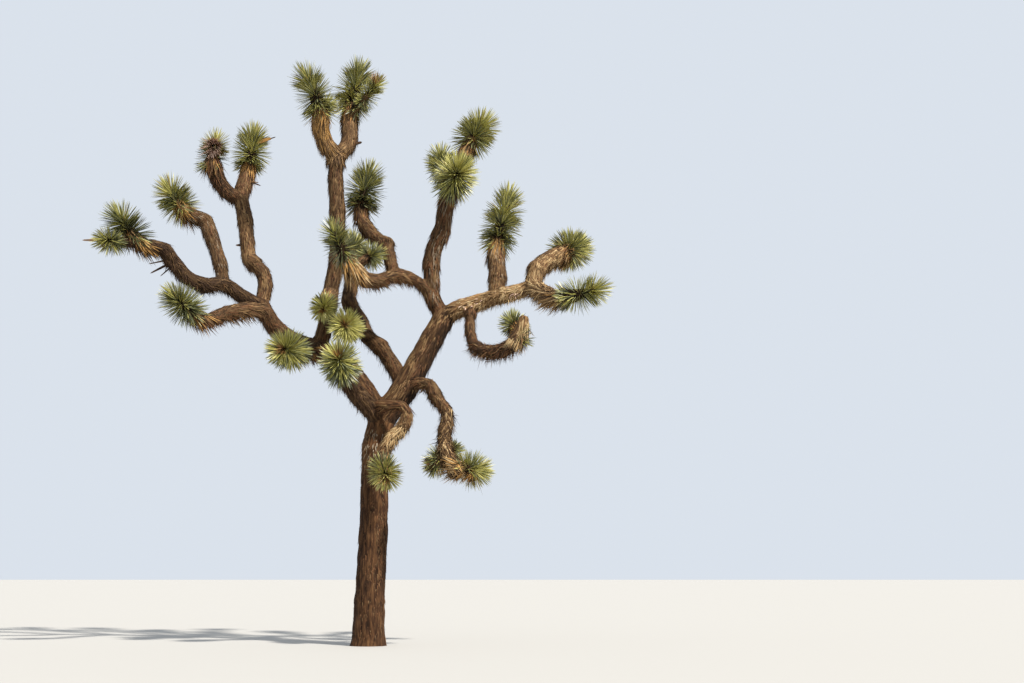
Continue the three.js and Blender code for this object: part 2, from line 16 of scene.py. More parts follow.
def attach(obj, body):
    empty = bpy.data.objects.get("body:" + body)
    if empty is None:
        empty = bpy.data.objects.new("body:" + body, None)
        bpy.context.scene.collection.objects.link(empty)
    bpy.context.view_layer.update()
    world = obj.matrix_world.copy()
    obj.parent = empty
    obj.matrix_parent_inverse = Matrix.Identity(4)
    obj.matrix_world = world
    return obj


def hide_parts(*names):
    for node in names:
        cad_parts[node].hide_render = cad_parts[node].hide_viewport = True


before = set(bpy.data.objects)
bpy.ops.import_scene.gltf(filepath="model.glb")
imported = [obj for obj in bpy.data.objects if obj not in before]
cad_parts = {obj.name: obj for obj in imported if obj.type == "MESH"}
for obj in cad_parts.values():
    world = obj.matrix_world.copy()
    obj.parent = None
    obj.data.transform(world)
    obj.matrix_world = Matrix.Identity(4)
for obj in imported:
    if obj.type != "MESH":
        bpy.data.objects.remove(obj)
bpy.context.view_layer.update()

# The tree, as its solids have it. A limb: the limb and knee that it stands on, its radius at its foot and at
# its tip, and its runs. Each run has its length, its lean to the right of upright and its turn towards the
# front, in degrees. A place on a limb is the distance along it.
LIMBS = {
    "trunk": (
        None, (0.198, 0.18),
        [(0.58, 1, 0), (0.77, 2, 0), (0.79, 1, 1), (0.43, 1, 2), (0.38, 10, -2)],
    ),
    "right_bough": (
        ("trunk", 5), (0.182, 0.147),
        [(0.51, 36, -1), (0.43, 27, -4), (0.36, 28, -2), (0.32, 28, -3)],
    ),
    "left_bough": (
        ("trunk", 5), (0.16, 0.114),
        [
            (0.47, -33, -9), (0.45, -37, -14), (0.48, -58, -10), (0.37, -70, -14), (0.37, -53, -12),
            (0.4, -34, -12),
        ],
    ),
    "left_riser": (
        ("left_bough", 6), (0.097, 0.106),
        [
            (0.35, 4, -20), (0.23, -18, -21), (0.31, -44, -15), (0.33, -12, -18), (0.39, -11, -18),
            (0.31, -16, -13),
        ],
    ),
    "riser_west": (("left_riser", 6), (0.1, 0.116), [(0.23, -61, 4), (0.24, -37, 10), (0.2, -17, 11)]),
    "riser_east": (("left_riser", 6), (0.098, 0.108), [(0.21, 0, -28), (0.24, 7, -20)]),
    "far_left_arm": (
        ("left_bough", 6), (0.1, 0.097),
        [
            (0.27, -67, 26), (0.34, -58, 24), (0.28, -109, 41), (0.28, -71, 32), (0.3, -40, 32),
            (0.19, -32, 44), (0.22, -83, 33),
        ],
    ),
    "far_left_riser": (
        ("far_left_arm", 2), (0.086, 0.101),
        [(0.37, -14, -12), (0.38, -22, -13), (0.29, -24, -11), (0.2, -66, -5)],
    ),
    "low_left_arm": (
        ("left_bough", 5), (0.09, 0.092),
        [(0.3, -38, 31), (0.33, -98, 51), (0.33, -122, 53), (0.29, -134, 50)],
    ),
    "crown_riser": (
        ("left_bough", 3), (0.106, 0.102),
        [(0.38, 15, -3), (0.45, 6, -1), (0.5, 9, -1), (0.62, -1, -2), (0.52, -5, -2), (0.36, 0, -1)],
    ),
    "top_west": (("crown_riser", 6), (0.104, 0.118), [(0.21, -46, 28), (0.23, -18, 21), (0.15, 0, 10)]),
    "top_east": (("crown_riser", 6), (0.104, 0.116), [(0.2, 43, -25), (0.21, 11, -30), (0.24, -4, -20)]),
    "front_spur": (("trunk", 5), (0.124, 0.108), [(0.27, -49, 53), (0.31, -43, 40), (0.28, -33, 43)]),
    "front_left_spur": (("left_bough", 3), (0.1, 0.092), [(0.27, -120, 70), (0.29, -117, 63)]),
    "mid_bough": (
        ("right_bough", 1), (0.108, 0.094),
        [
            (0.38, -27, -20), (0.35, -34, -20), (0.28, -48, -18), (0.33, -26, -26), (0.39, -32, -27),
            (0.34, -1, -33), (0.44, -3, -37),
        ],
    ),
    "mid_spur": (("mid_bough", 4), (0.086, 0.084), [(0.34, 176, 68), (0.26, -141, 66)]),
    "centre_riser": (
        ("right_bough", 4), (0.107, 0.11),
        [(0.32, -30, -2), (0.22, -2, 7), (0.25, -3, 4), (0.23, 11, 10), (0.26, 25, 9), (0.3, 8, 8)],
    ),
    "centre_north": (("centre_riser", 6), (0.096, 0.1), [(0.42, 11, -36), (0.5, 14, -33), (0.29, 14, -30)]),
    "cross_limb": (
        ("centre_riser", 1), (0.072, 0.105),
        [
            (0.23, -41, 25), (0.23, -67, 30), (0.22, -91, 37), (0.25, -119, 33), (0.21, -97, 42),
            (0.18, -56, 43),
        ],
    ),
    "cross_riser": (
        ("cross_limb", 3), (0.08, 0.096),
        [(0.34, -15, -24), (0.27, -19, -37), (0.3, -47, -36), (0.34, -36, -34)],
    ),
    "right_arm": (
        ("right_bough", 4), (0.124, 0.097),
        [(0.21, 60, 10), (0.23, 73, 9), (0.33, 74, 13), (0.28, 79, 11), (0.25, 74, 15)],
    ),
    "hook_drop": (("right_arm", 2), (0.06, 0.07), [(0.23, -171, 26), (0.26, 179, 32), (0.25, 166, 35)]),
    "hook_rise": (("hook_drop", 3), (0.078, 0.098), [(0.24, 127, 40), (0.26, 97, 35), (0.22, 69, 31)]),
    "hook_spur": (("hook_rise", 3), (0.115, 0.062), [(0.18, 30, 0), (0.18, 12, 0)]),
    "right_riser": (("right_arm", 3), (0.106, 0.118), [(0.37, 4, -27), (0.29, -5, -34)]),
    "right_shoulder": (
        ("right_arm", 5), (0.112, 0.125),
        [(0.31, 11, -29), (0.26, 40, -42), (0.25, 50, -43)],
    ),
    "right_reach": (("right_arm", 5), (0.106, 0.108), [(0.24, 137, 52), (0.23, 129, 45)]),
    "drooping_arm": (
        ("right_bough", 1), (0.07, 0.082),
        [(0.26, 75, 33), (0.24, 111, 47), (0.24, 155, 38), (0.28, 142, 23)],
    ),
    "drooping_tail": (
        ("drooping_arm", 4), (0.074, 0.094),
        [(0.16, 179, 22), (0.2, -171, 17), (0.19, 176, 18), (0.19, 153, 22)],
    ),
    "front_loop": (
        ("trunk", 5), (0.066, 0.066),
        [(0.32, -3, 62), (0.18, 94, 27), (0.16, 98, 14), (0.12, 138, 9)],
    ),
    "loop_return": (("front_loop", 4), (0.074, 0.09), [(0.19, -161, 3), (0.19, -134, 0), (0.16, -151, 3)]),
}

# A tuft: the limb and knee that its stem stands on, the stem as one run, how much of the stem is leafy and
# how far the leaves reach from it
TUFTS = {
    "tuft_top_west": (("top_west", 3), (0.53, -18, 13), 0.44, 0.338),
    "tuft_top_west_side": (("top_west", 3), (0.34, 6, -36), 0.12, 0.223),
    "tuft_top_east": (("top_east", 3), (0.83, 6, -11), 0.48, 0.353),
    "tuft_top_east_side": (("top_east", 3), (0.69, 36, 16), 0.14, 0.233),
    "tuft_riser_west": (("riser_west", 3), (0.32, 2, 4), 0.26, 0.28),
    "tuft_riser_east": (("riser_east", 2), (0.64, 4, -13), 0.38, 0.341),
    "tuft_far_left_riser": (("far_left_riser", 4), (0.45, -44, 1), 0.23, 0.338),
    "tuft_far_left": (("far_left_arm", 7), (0.47, -47, 26), 0.25, 0.331),
    "tuft_far_left_low": (("far_left_arm", 7), (0.62, -95, 47), 0.15, 0.228),
    "tuft_low_left": (("low_left_arm", 4), (0.58, -64, 46), 0.22, 0.294),
    "tuft_front_left": (("front_left_spur", 2), (0.32, -110, 70), 0.19, 0.315),
    "tuft_front": (("front_spur", 3), (0.4, -17, 58), 0.21, 0.307),
    "tuft_mid": (("mid_spur", 2), (0.34, -138, 81), 0.19, 0.275),
    "tuft_hanging": (("crown_riser", 2), (0.59, -177, 55), 0.14, 0.225),
    "tuft_cross_west": (("cross_limb", 6), (0.59, -31, 28), 0.33, 0.271),
    "tuft_cross_back": (("cross_limb", 6), (0.56, 27, -48), 0.13, 0.229),
    "tuft_mid_back": (("mid_bough", 7), (0.53, -6, -41), 0.21, 0.294),
    "tuft_cross_riser": (("cross_riser", 4), (0.79, 0, -18), 0.42, 0.342),
    "tuft_centre_front": (("centre_riser", 6), (0.58, 25, 41), 0.2, 0.342),
    "tuft_centre_back": (("centre_riser", 6), (0.82, -6, -16), 0.24, 0.286),
    "tuft_centre_north": (("centre_north", 3), (0.56, 24, -20), 0.23, 0.368),
    "tuft_right_riser": (("right_riser", 2), (1.06, 9, -21), 0.7, 0.342),
    "tuft_right_shoulder": (("right_shoulder", 3), (0.54, 52, -47), 0.21, 0.341),
    "tuft_right_reach": (("right_reach", 2), (0.63, 89, 29), 0.37, 0.29),
    "tuft_hook": (("hook_rise", 3), (0.43, -3, -38), 0.13, 0.225),
    "tuft_droop_left": (("drooping_tail", 3), (0.23, -146, -31), 0.12, 0.235),
    "tuft_droop_back": (("drooping_tail", 3), (0.29, 83, -69), 0.1, 0.18),
    "tuft_droop_right": (("drooping_tail", 4), (0.34, 108, -20), 0.15, 0.285),
    "tuft_loop": (("loop_return", 3), (0.44, 176, 30), 0.13, 0.252),
}

# How the solids shape a limb
KNEE_TENSION = 0.3  # how round a knee is
KNOB = 0.05  # share of the radius by which a limb swells at a knee
KNOB_REACH = 0.06
ROOT_FLARE = 0.032
FLARE_HEIGHT = 0.3
NECK = 0.95  # a tuft's stem against the tip of its limb
SLIM_NECKS = {  # the radius of side stems that are thinner, hidden among the leaves of the main tuft
    "tuft_top_west_side": 0.045, "tuft_top_east_side": 0.045, "tuft_far_left_low": 0.06,
    "tuft_cross_back": 0.05, "tuft_droop_back": 0.05, "tuft_centre_back": 0.075,
}
STEM_BEND = 1 / 3

# The skin of bark
SKIN_INSIDE = 0.99  # the skin's mean radius against that of the solid's corners
SAMPLE_STEP = 0.02  # between points along a centreline
FINER = 2  # points worked out on a limb's curve for each that is kept
LEAST_STEPS = 3
STEM_POINTS = 60
TUBE_SIDES = 20
HEART_WIDTH = 0.5  # a stem's radius in the heart of its tuft, against its neck
VOXEL = 0.015
FORK_REACH = 0.07  # skin this near to a second limb is smoothed into a fork
FORK_ROUNDS = 14

# Ragged lips where one year's thatch of dead leaves ends above another's: how far along the limb each is
# and how far it stands out. The thick part is the upper one, which is towards the foot on a hanging limb.
COLLARS = {
    "centre_riser": [(0.73, 0.016), (1.16, 0.022)], "left_riser": [(0.74, 0.03), (1.5, 0.014)],
    "far_left_riser": [(0.25, 0.014), (0.8, 0.014)], "right_riser": [(0.3, 0.02)],
    "crown_riser": [(0.6, 0.014), (1.3, 0.016), (2.0, 0.014), (2.7, 0.03)],
    "right_arm": [(0.27, 0.016), (0.86, 0.012)], "mid_bough": [(0.72, 0.022), (1.6, 0.014)],
    "far_left_arm": [(0.9, 0.016)], "right_shoulder": [(0.28, 0.014)], "drooping_arm": [(0.72, 0.02)],
    "drooping_tail": [(0.3, 0.014)], "hook_drop": [(0.2, 0.022)], "cross_limb": [(0.55, 0.014)],
    "cross_riser": [(0.56, 0.034)], "front_spur": [(0.4, 0.014)], "left_bough": [(1.3, 0.016)],
    "low_left_arm": [(0.3, 0.014)], "riser_east": [(0.2, 0.02)], "top_west": [(0.12, 0.014)],
    "loop_return": [(0.2, 0.014)],
}
HANGING = ("drooping_arm", "drooping_tail", "hook_drop", "loop_return")
COLLAR_LENGTH = 0.2

UP = np.array((0.0, 0.0, 1.0))
FIRST_SIDE = np.array((0.0, -1.0, 0.2))
GOLDEN_ANGLE = math.pi * (3 - math.sqrt(5))

# How dead leaves lie: how far they stand off in degrees, how much they curl, and how long they are
PRESSED = (7, 0.08, 0.85)
RAGGED = (17, 0.35, 0.62)
CURLED = (32, 0.9, 0.55)
SHORT = (7, 0.15, 0.45)
STUBBY = (20, 0.6, 0.45)
# The dead leaves on each limb: how much of its foot and of its tip they cover, how they lie, and the tones
# that they are dealt, from the darkest
COATS = {
    "trunk": (0.3, 0.35, SHORT, "umber rust brown"),
    "right_bough": (0.5, 0.5, PRESSED, "umber umber rust brown tan"),
    "left_bough": (0.6, 0.6, RAGGED, "umber rust brown"),
    "left_riser": (0.7, 0.8, PRESSED, "umber rust brown tan tan"),
    "riser_west": (1.2, 1.6, RAGGED, "umber umber rust brown"),
    "riser_east": (1.0, 1.6, PRESSED, "umber rust brown tan"),
    "far_left_arm": (0.8, 1.2, RAGGED, "umber umber brown"),
    "far_left_riser": (0.7, 1.2, PRESSED, "umber rust brown brown grey"),
    "low_left_arm": (1.2, 1.5, RAGGED, "umber rust brown brown"),
    "crown_riser": (0.7, 1.0, PRESSED, "umber rust brown brown tan"),
    "top_west": (1.5, 1.8, PRESSED, "rust brown tan orange"),
    "top_east": (1.5, 1.8, PRESSED, "rust brown brown tan"),
    "front_spur": (0.7, 1.1, RAGGED, "umber umber brown"),
    "front_left_spur": (0.8, 1.1, RAGGED, "umber umber brown"),
    "mid_bough": (0.8, 0.7, RAGGED, "umber rust brown brown"),
    "mid_spur": (0.8, 1.1, RAGGED, "umber brown tan"),
    "centre_riser": (0.6, 0.9, PRESSED, "umber rust rust brown grey"),
    "centre_north": (1.1, 1.6, PRESSED, "rust brown tan orange"),
    "cross_limb": (0.8, 1.5, RAGGED, "umber rust brown tan"),
    "cross_riser": (1.0, 1.8, RAGGED, "umber rust brown tan"),
    "right_arm": (1.1, 1.3, STUBBY, "brown tan tan straw"),
    "hook_drop": (0.8, 1.3, RAGGED, "umber rust brown"),
    "hook_rise": (1.8, 1.6, CURLED, "umber umber rust tan"),
    "hook_spur": (2.6, 2.6, PRESSED, "tan straw straw"),
    "right_riser": (0.9, 1.4, PRESSED, "umber rust brown tan grey"),
    "right_shoulder": (1.3, 1.8, PRESSED, "rust brown tan straw"),
    "right_reach": (1.8, 1.8, CURLED, "umber brown tan straw"),
    "drooping_arm": (1.1, 1.5, STUBBY, "umber rust brown tan"),
    "drooping_tail": (1.6, 1.8, CURLED, "umber umber brown tan straw"),
    "front_loop": (0.6, 0.8, PRESSED, "umber rust rust tan"),
    "loop_return": (1.6, 1.8, STUBBY, "rust brown tan straw"),
}
# How light the bark of a limb is against the rest: its own tone, and painted shade on limbs that lie in shade
LIMB_TONE_AND_PAINTED_SHADE = {
    "trunk": 0.92, "right_bough": 0.68, "left_bough": 0.92, "mid_bough": 1.12, "left_riser": 1.15,
    "riser_west": 0.55, "far_left_arm": 0.6, "far_left_riser": 0.8, "low_left_arm": 0.6, "crown_riser": 0.8,
    "front_spur": 0.7, "front_left_spur": 0.8, "centre_riser": 0.8, "right_arm": 1.6, "right_riser": 1.05,
    "right_shoulder": 1.2, "hook_drop": 0.8, "hook_rise": 0.55, "hook_spur": 1.7, "drooping_arm": 0.8,
    "loop_return": 1.35,
}
# painted shade: a tuft's stem between its leaves is darkened, as if shaded by them
STEM_PAINTED_SHADE = 0.3
# Stretches where a limb is lighter than elsewhere, or darker: its start, its end and by what share
TONE_BANDS_AND_PAINTED_LIGHT = {
    # painted light on the trunk's top, where the front loop casts its shadow
    "trunk": [(2.0, 3.1, 0.2), (2.12, 3.1, 0.2), (2.24, 3.1, 0.2)],
    "right_arm": [(0.27, 0.62, 0.6), (0.86, 1.18, 0.5), (-0.1, 0.2, -0.3)],
    "loop_return": [(0.17, 0.5, 0.8)], "front_loop": [(0.0, 0.4, -0.2)],
    "right_shoulder": [(0.45, 0.9, 0.2)], "left_riser": [(0.2, 0.8, -0.15)], "top_west": [(0.3, 0.6, 0.5)],
}
BAND_EDGE = 0.06
# Painted light and shade: limbs lighter on the side that faces the light and darker on the other: which way
# that side faces (lean and turn as for a run) and by what share
PAINTED_LIGHT_SIDES = {
    "right_bough": ((-62, 15), 0.9), "trunk": ((80, 30), 0.2), "mid_bough": ((60, 30), 0.2),
    "centre_riser": ((80, 30), 0.2),
}


@dataclass
class Shoot:
    """A limb or a tuft's stem: samples of its centreline, with what skin and leaves need at each."""

    name: str
    centre: np.ndarray
    tangent: np.ndarray
    side: np.ndarray
    along: np.ndarray
    radius: np.ndarray
    knees: list


def unit(v):
    return v / np.linalg.norm(v, axis=-1, keepdims=True)


def dot(a, b):
    return (a * b).sum(-1)


def square_to(v, axis):
    """The part of v that is square to an axis, at unit length."""
    return unit(v - axis * dot(v, axis)[..., None])


def mix(a, b, share):
    return a + (b - a) * share


def between(at, along, values):
    """Rows of values at distances along a line, of which some are given."""
    return np.stack([np.interp(at, along, values[:, i]) for i in range(3)], 1)


def direction(lean, toward):
    """The direction that leans to the right of upright and turns towards the front, in degrees."""
    a, b = math.radians(lean), math.radians(toward)
    return np.array((math.sin(a) * math.cos(b), -math.sin(b), math.cos(a) * math.cos(b)))


def step_from(start, run):
    """The point that one run leads to."""
    length, lean, toward = run
    return start + length * direction(lean, toward)


def shoot_through(name, points, radius_at, knees):
    """A shoot through points, with its distances, directions and sides worked out."""
    steps = np.linalg.norm(np.diff(points, axis=0), axis=1)
    along = np.concatenate(([0.0], np.cumsum(steps)))
    even = np.linspace(0, along[-1], max(LEAST_STEPS, round(along[-1] / SAMPLE_STEP)) + 1)
    centre = between(even, along, points)
    tangent = unit(np.gradient(centre, axis=0))
    side = np.empty_like(centre)
    last = FIRST_SIDE
    for i, axis in enumerate(tangent):
        last = side[i] = square_to(last, axis)
    return Shoot(name, centre, tangent, side, even, radius_at(even), knees)


def collars_at(name, at):
    """How far a limb's collars stand out."""
    rise = np.zeros(len(at))
    for lip, high in COLLARS.get(name, []):
        past = lip - at if name in HANGING else at - lip
        rise = np.maximum(rise, high * np.where(past < 0, 0, np.clip(1 - past / COLLAR_LENGTH, 0, 1)))
    return rise


def limb_shoot(name, shoots):
    on, radius, runs = LIMBS[name]
    knees = [shoots[on[0]].knees[on[1]] if on else np.zeros(3)]
    for run in runs:
        knees.append(step_from(knees[-1], run))
    ends = [2 * knees[0] - knees[1], *knees, 2 * knees[-1] - knees[-2]]
    points, share_done = [], []
    lengths = [run[0] for run in runs]
    for i, length in enumerate(lengths):
        a, b = knees[i], knees[i + 1]
        slope_a, slope_b = KNEE_TENSION * (b - ends[i]), KNEE_TENSION * (ends[i + 3] - a)
        for s in np.arange(0, 1, SAMPLE_STEP / length / FINER):
            curve = (2 * s**3 - 3 * s**2 + 1) * a + (s**3 - 2 * s**2 + s) * slope_a
            points.append(curve + (3 * s**2 - 2 * s**3) * b + (s**3 - s**2) * slope_b)
            share_done.append(sum(lengths[:i]) + s * length)
    points.append(knees[-1])
    share_done.append(sum(lengths))
    points = np.array(points)
    done = np.array(share_done)
    knee_places = np.cumsum([0, *lengths])

    def radius_at(even):
        place = even / even[-1] * done[-1]
        to_knee = np.abs(place[:, None] - knee_places).min(1)
        knob = 1 + KNOB * np.exp(-((to_knee / KNOB_REACH) ** 2))
        wide = mix(radius[0], radius[1], place / done[-1]) * knob
        flare = 0 if on else ROOT_FLARE * np.exp(-place / FLARE_HEIGHT)
        return wide * SKIN_INSIDE + flare + collars_at(name, place)

    return shoot_through(name, points, radius_at, knees)


def stem_shoot(name, shoots):
    (limb, knee), run, leafy, _ = TUFTS[name]
    carrier = shoots[limb]
    foot = carrier.knees[knee]
    heart = step_from(foot, run)
    last = knee == len(carrier.knees) - 1
    leaving = carrier.tangent[-1] if last else unit(heart - foot)
    bend = foot + leaving * run[0] * STEM_BEND
    s = np.linspace(0, 1, STEM_POINTS)[:, None]
    points = (1 - s) ** 2 * foot + 2 * s * (1 - s) * bend + s**2 * heart
    neck = SLIM_NECKS.get(name, LIMBS[limb][1][1 if last else 0] * NECK * SKIN_INSIDE)

    def radius_at(even):
        into_leaves = np.clip((even - (even[-1] - leafy)) / leafy, 0, 1)
        return neck * mix(1, HEART_WIDTH, into_leaves)

    return shoot_through(name, points, radius_at, [foot, heart])


def grow_all():
    shoots = {}
    for name in LIMBS:
        shoots[name] = limb_shoot(name, shoots)
    for name in TUFTS:
        shoots[name] = stem_shoot(name, shoots)
    return shoots


def mesh_piece(name, points, faces, smooth=False):
    """A new object from arrays of points and of faces, all with the same number of corners."""
    corners = faces.shape[1]
    mesh = bpy.data.meshes.new(name)
    mesh.vertices.add(len(points))
    mesh.vertices.foreach_set("co", points.astype(np.float32).ravel())
    mesh.loops.add(faces.size)
    mesh.loops.foreach_set("vertex_index", faces.astype(np.int32).ravel())
    mesh.polygons.add(len(faces))
    mesh.polygons.foreach_set("loop_start", np.arange(0, faces.size, corners, dtype=np.int32))
    mesh.polygons.foreach_set("use_smooth", np.full(len(faces), smooth))
    mesh.update(calc_edges=True)
    piece = bpy.data.objects.new(name, mesh)
    bpy.context.scene.collection.objects.link(piece)
    return piece


# Bark

DOME_STEPS = ((0.35, 0.9), (0.55, 0.7), (0.68, 0.35))  # a rounded end: how far out and how wide, in radii
SUNK = 0.1  # how far the trunk goes on below the ground
FAR_OFF = 0.2  # no place on the skin is as far as this from the surface of its own shoot
AT_ONCE = 20000  # points compared with a shoot in one go
APART = 3.7  # between two shoots laid out straight, so that their bark differs
RIDGE = (0.042, 0.3)  # the bark's long ridges: across and along
WANDER = (0.12, 0.3)  # how they wander from side to side: across and along
FINE_TIMES = 1.7  # how many times shorter the fine ridges are
RIDGE_HEIGHT = 0.008
CRACK_SHARE = 0.2  # how much of the noise between two ridges is their crack
CRACK_DEPTH = 0.007
YOUNG_CRACKS = 0.6  # how deep they are on a young limb, against the trunk
LUMP = 0.17  # across the larger lumps and hollows
LUMP_HEIGHT = 0.011
# Which pieces the skin is cut into, and a slot name for each, which is not used. The younger limbs are in
# order from the left to the right.
BOUGHS = ["trunk", "right_bough", "left_bough", "mid_bough"]
YOUNGER = [name for name in LIMBS if name not in BOUGHS]
FIRST_ON_RIGHT = YOUNGER.index("centre_riser")
BARK_PIECES = {
    "bark_trunk": ("trunk_bark", BOUGHS),
    "bark_left": ("limb_bark", YOUNGER[:FIRST_ON_RIGHT]),
    "bark_right": ("limb_bark", YOUNGER[FIRST_ON_RIGHT:]),
}
AGES = {"trunk": 1.0, "right_bough": 0.55, "left_bough": 0.5, "mid_bough": 0.4}  # from 0 to 1
YOUNG = 0.15
AGE_CARRIED, LIGHT_CARRIED = 0.5, 0.2  # how far up a limb its carrier's age and lightness still show
SMOOTHED = 0.12  # how far the skin is smoothed away from its forks
CALMER_FORKS = 0.6  # how much of the ridges' height is missing in a fork


def tube_of(shoot):
    """The shoot as points and triangles of a closed round tube with a rounded end."""
    centre, radius = list(shoot.centre), list(shoot.radius)
    for out, wide in DOME_STEPS:
        centre.append(shoot.centre[-1] + shoot.tangent[-1] * out * shoot.radius[-1])
        radius.append(shoot.radius[-1] * wide)
    centre, radius = np.array(centre), np.array(radius)
    more = len(DOME_STEPS)
    tangent = np.concatenate([shoot.tangent, shoot.tangent[-1:].repeat(more, 0)])
    side = np.concatenate([shoot.side, shoot.side[-1:].repeat(more, 0)])
    turn = np.linspace(0, 2 * math.pi, TUBE_SIDES, endpoint=False)
    other = np.cross(tangent, side)
    ring = np.cos(turn)[None, :, None] * side[:, None] + np.sin(turn)[None, :, None] * other[:, None]
    points = (centre[:, None] + ring * radius[:, None, None]).reshape(-1, 3)
    rings = len(centre)
    corner = np.arange(rings * TUBE_SIDES).reshape(rings, TUBE_SIDES)
    after = np.roll(corner, -1, 1)
    low, low_after, high, high_after = corner[:-1], after[:-1], corner[1:], after[1:]
    walls = np.concatenate(
        [np.stack([low, low_after, high_after], 2), np.stack([low, high_after, high], 2)]
    ).reshape(-1, 3)
    foot, tip = rings * TUBE_SIDES, rings * TUBE_SIDES + 1
    caps = [np.stack([after[0], corner[0], np.full(TUBE_SIDES, foot)], 1)]
    caps.append(np.stack([corner[-1], after[-1], np.full(TUBE_SIDES, tip)], 1))
    points = np.concatenate([points, shoot.centre[:1], centre[-1:]])
    return points, np.concatenate([walls, *caps])


def merged(parts):
    """Several (points, faces) as one."""
    points, faces, count = [], [], 0
    for p, f in parts:
        points.append(p)
        faces.append(f + count)
        count += len(p)
    return np.concatenate(points), np.concatenate(faces)


def sunk_foot(shoot):
    """The trunk goes on below the ground, so that the cut there is clean."""
    return replace(
        shoot,
        centre=np.concatenate([shoot.centre[:1] - UP * SUNK, shoot.centre]),
        tangent=np.concatenate([shoot.tangent[:1], shoot.tangent]),
        side=np.concatenate([shoot.side[:1], shoot.side]),
        radius=np.concatenate([shoot.radius[:1], shoot.radius]),
    )


def blended_skin(shoots):
    """All shoots as one closed skin of small squares."""
    tubes = [tube_of(sunk_foot(s) if s.name == "trunk" else s) for s in shoots.values()]
    rough = mesh_piece("skin", *merged(tubes))
    remesh = rough.modifiers.new("blend", "REMESH")
    remesh.mode = "VOXEL"
    remesh.voxel_size = VOXEL
    whole = rough.evaluated_get(bpy.context.evaluated_depsgraph_get())
    mesh = whole.to_mesh()
    points = np.empty(len(mesh.vertices) * 3, np.float32)
    mesh.vertices.foreach_get("co", points)
    corners = np.empty(len(mesh.loops), np.int32)
    mesh.loops.foreach_get("vertex_index", corners)
    edges = np.empty(len(mesh.edges) * 2, np.int32)
    mesh.edges.foreach_get("vertices", edges)
    assert len(corners) == 4 * len(mesh.polygons)
    whole.to_mesh_clear()
    bpy.data.objects.remove(rough)
    return points.reshape(-1, 3).astype(float), corners.reshape(-1, 4), edges.reshape(-1, 2)


def near_shoot(points, shoot, margin, among=True):
    """The points near a shoot, some at a time, and how far each is outside it at each of its samples."""
    wide = shoot.radius.max() + margin
    low, high = shoot.centre.min(0) - wide, shoot.centre.max(0) + wide
    here = np.flatnonzero(((points > low) & (points < high)).all(1) & among)
    for part in np.array_split(here, len(here) // AT_ONCE + 1):
        yield part, np.linalg.norm(points[part, None] - shoot.centre[None], axis=2) - shoot.radius


def nearest_shoot(points, shoots):
    """For each point: the shoot with the nearest surface, the sample on it, and how much further the next
    shoot is."""
    count = len(points)
    best = np.full(count, np.inf)
    second = np.full(count, np.inf)
    owner = np.zeros(count, int)
    sample = np.zeros(count, int)
    for number, shoot in enumerate(shoots.values()):
        for part, away in near_shoot(points, shoot, FAR_OFF):
            at = away.argmin(1)
            least = away[np.arange(len(part)), at]
            closer = least < best[part]
            second[part] = np.where(closer, best[part], np.minimum(second[part], least))
            sample[part] = np.where(closer, at, sample[part])
            owner[part] = np.where(closer, number, owner[part])
            best[part] = np.minimum(best[part], least)
    return owner, sample, second - best


def smoothed(points, edges, weight, rounds):
    a, b = edges.T
    degree = np.bincount(a, minlength=len(points)) + np.bincount(b, minlength=len(points))
    for _ in range(rounds):
        mean = np.empty_like(points)
        for i in range(3):
            total = np.bincount(a, points[b, i], len(points)) + np.bincount(b, points[a, i], len(points))
            mean[:, i] = total / degree
        points = mix(points, mean, weight[:, None])
    return points


def unrolled(points, owner, sample, shoots):
    """Where each point is on its own limb laid out straight: two across and one along, in metres."""
    flat = np.empty_like(points)
    for number, shoot in enumerate(shoots.values()):
        mine = np.flatnonzero(owner == number)
        at = sample[mine]
        tangent, side = shoot.tangent[at], shoot.side[at]
        offset = points[mine] - shoot.centre[at]
        other = np.cross(tangent, side)
        angle = np.arctan2(dot(offset, other), dot(offset, side))
        flat[mine, 0] = shoot.radius[at] * np.cos(angle)
        flat[mine, 1] = shoot.radius[at] * np.sin(angle)
        flat[mine, 2] = shoot.along[at] + dot(offset, tangent) + APART * number
    return flat


def relief_at(place, age):
    """Heights of the fine bark and of its lumps at a place laid out straight. Age is 1 on the trunk."""
    x, y, z = place
    across, along = WANDER
    wander = noise.noise(Vector((x / across, y / across, z / along)))
    lump = LUMP_HEIGHT * noise.noise(Vector((x / LUMP, y / LUMP, z / LUMP)))
    across, along = RIDGE
    ridge = noise.noise(Vector((x / across + wander, y / across, z / along)))
    crack = max(0.0, 1 - abs(ridge) / CRACK_SHARE)
    fine = noise.noise(Vector((y / across - wander, x / across, z / along * FINE_TIMES)))
    return RIDGE_HEIGHT * fine - CRACK_DEPTH * crack * mix(YOUNG_CRACKS, 1, age), lump


def carried_on(shoots, own_of, length):
    """A number for each sample of each shoot, one shoot after the other: it starts as on the shoot below it
    and has become its own after some length."""
    found = {}
    for name, shoot in shoots.items():
        on = (LIMBS.get(name) or TUFTS.get(name))[0]
        own = own_of(name)
        start = found[on[0]][-1] if on else own
        found[name] = mix(start, own, np.clip(shoot.along / length, 0, 1))
    return list(found.values())


def age_of(name):
    """How old a shoot's bark looks."""
    return AGES.get(name, YOUNG if name in LIMBS else 0.0)


# How light a shoot's bark is: a limb's own tone with its painted shade, and painted shade on a tuft's stem
def tone_and_painted_shade_of(name):
    return LIMB_TONE_AND_PAINTED_SHADE.get(name, 1.0) if name in LIMBS else STEM_PAINTED_SHADE


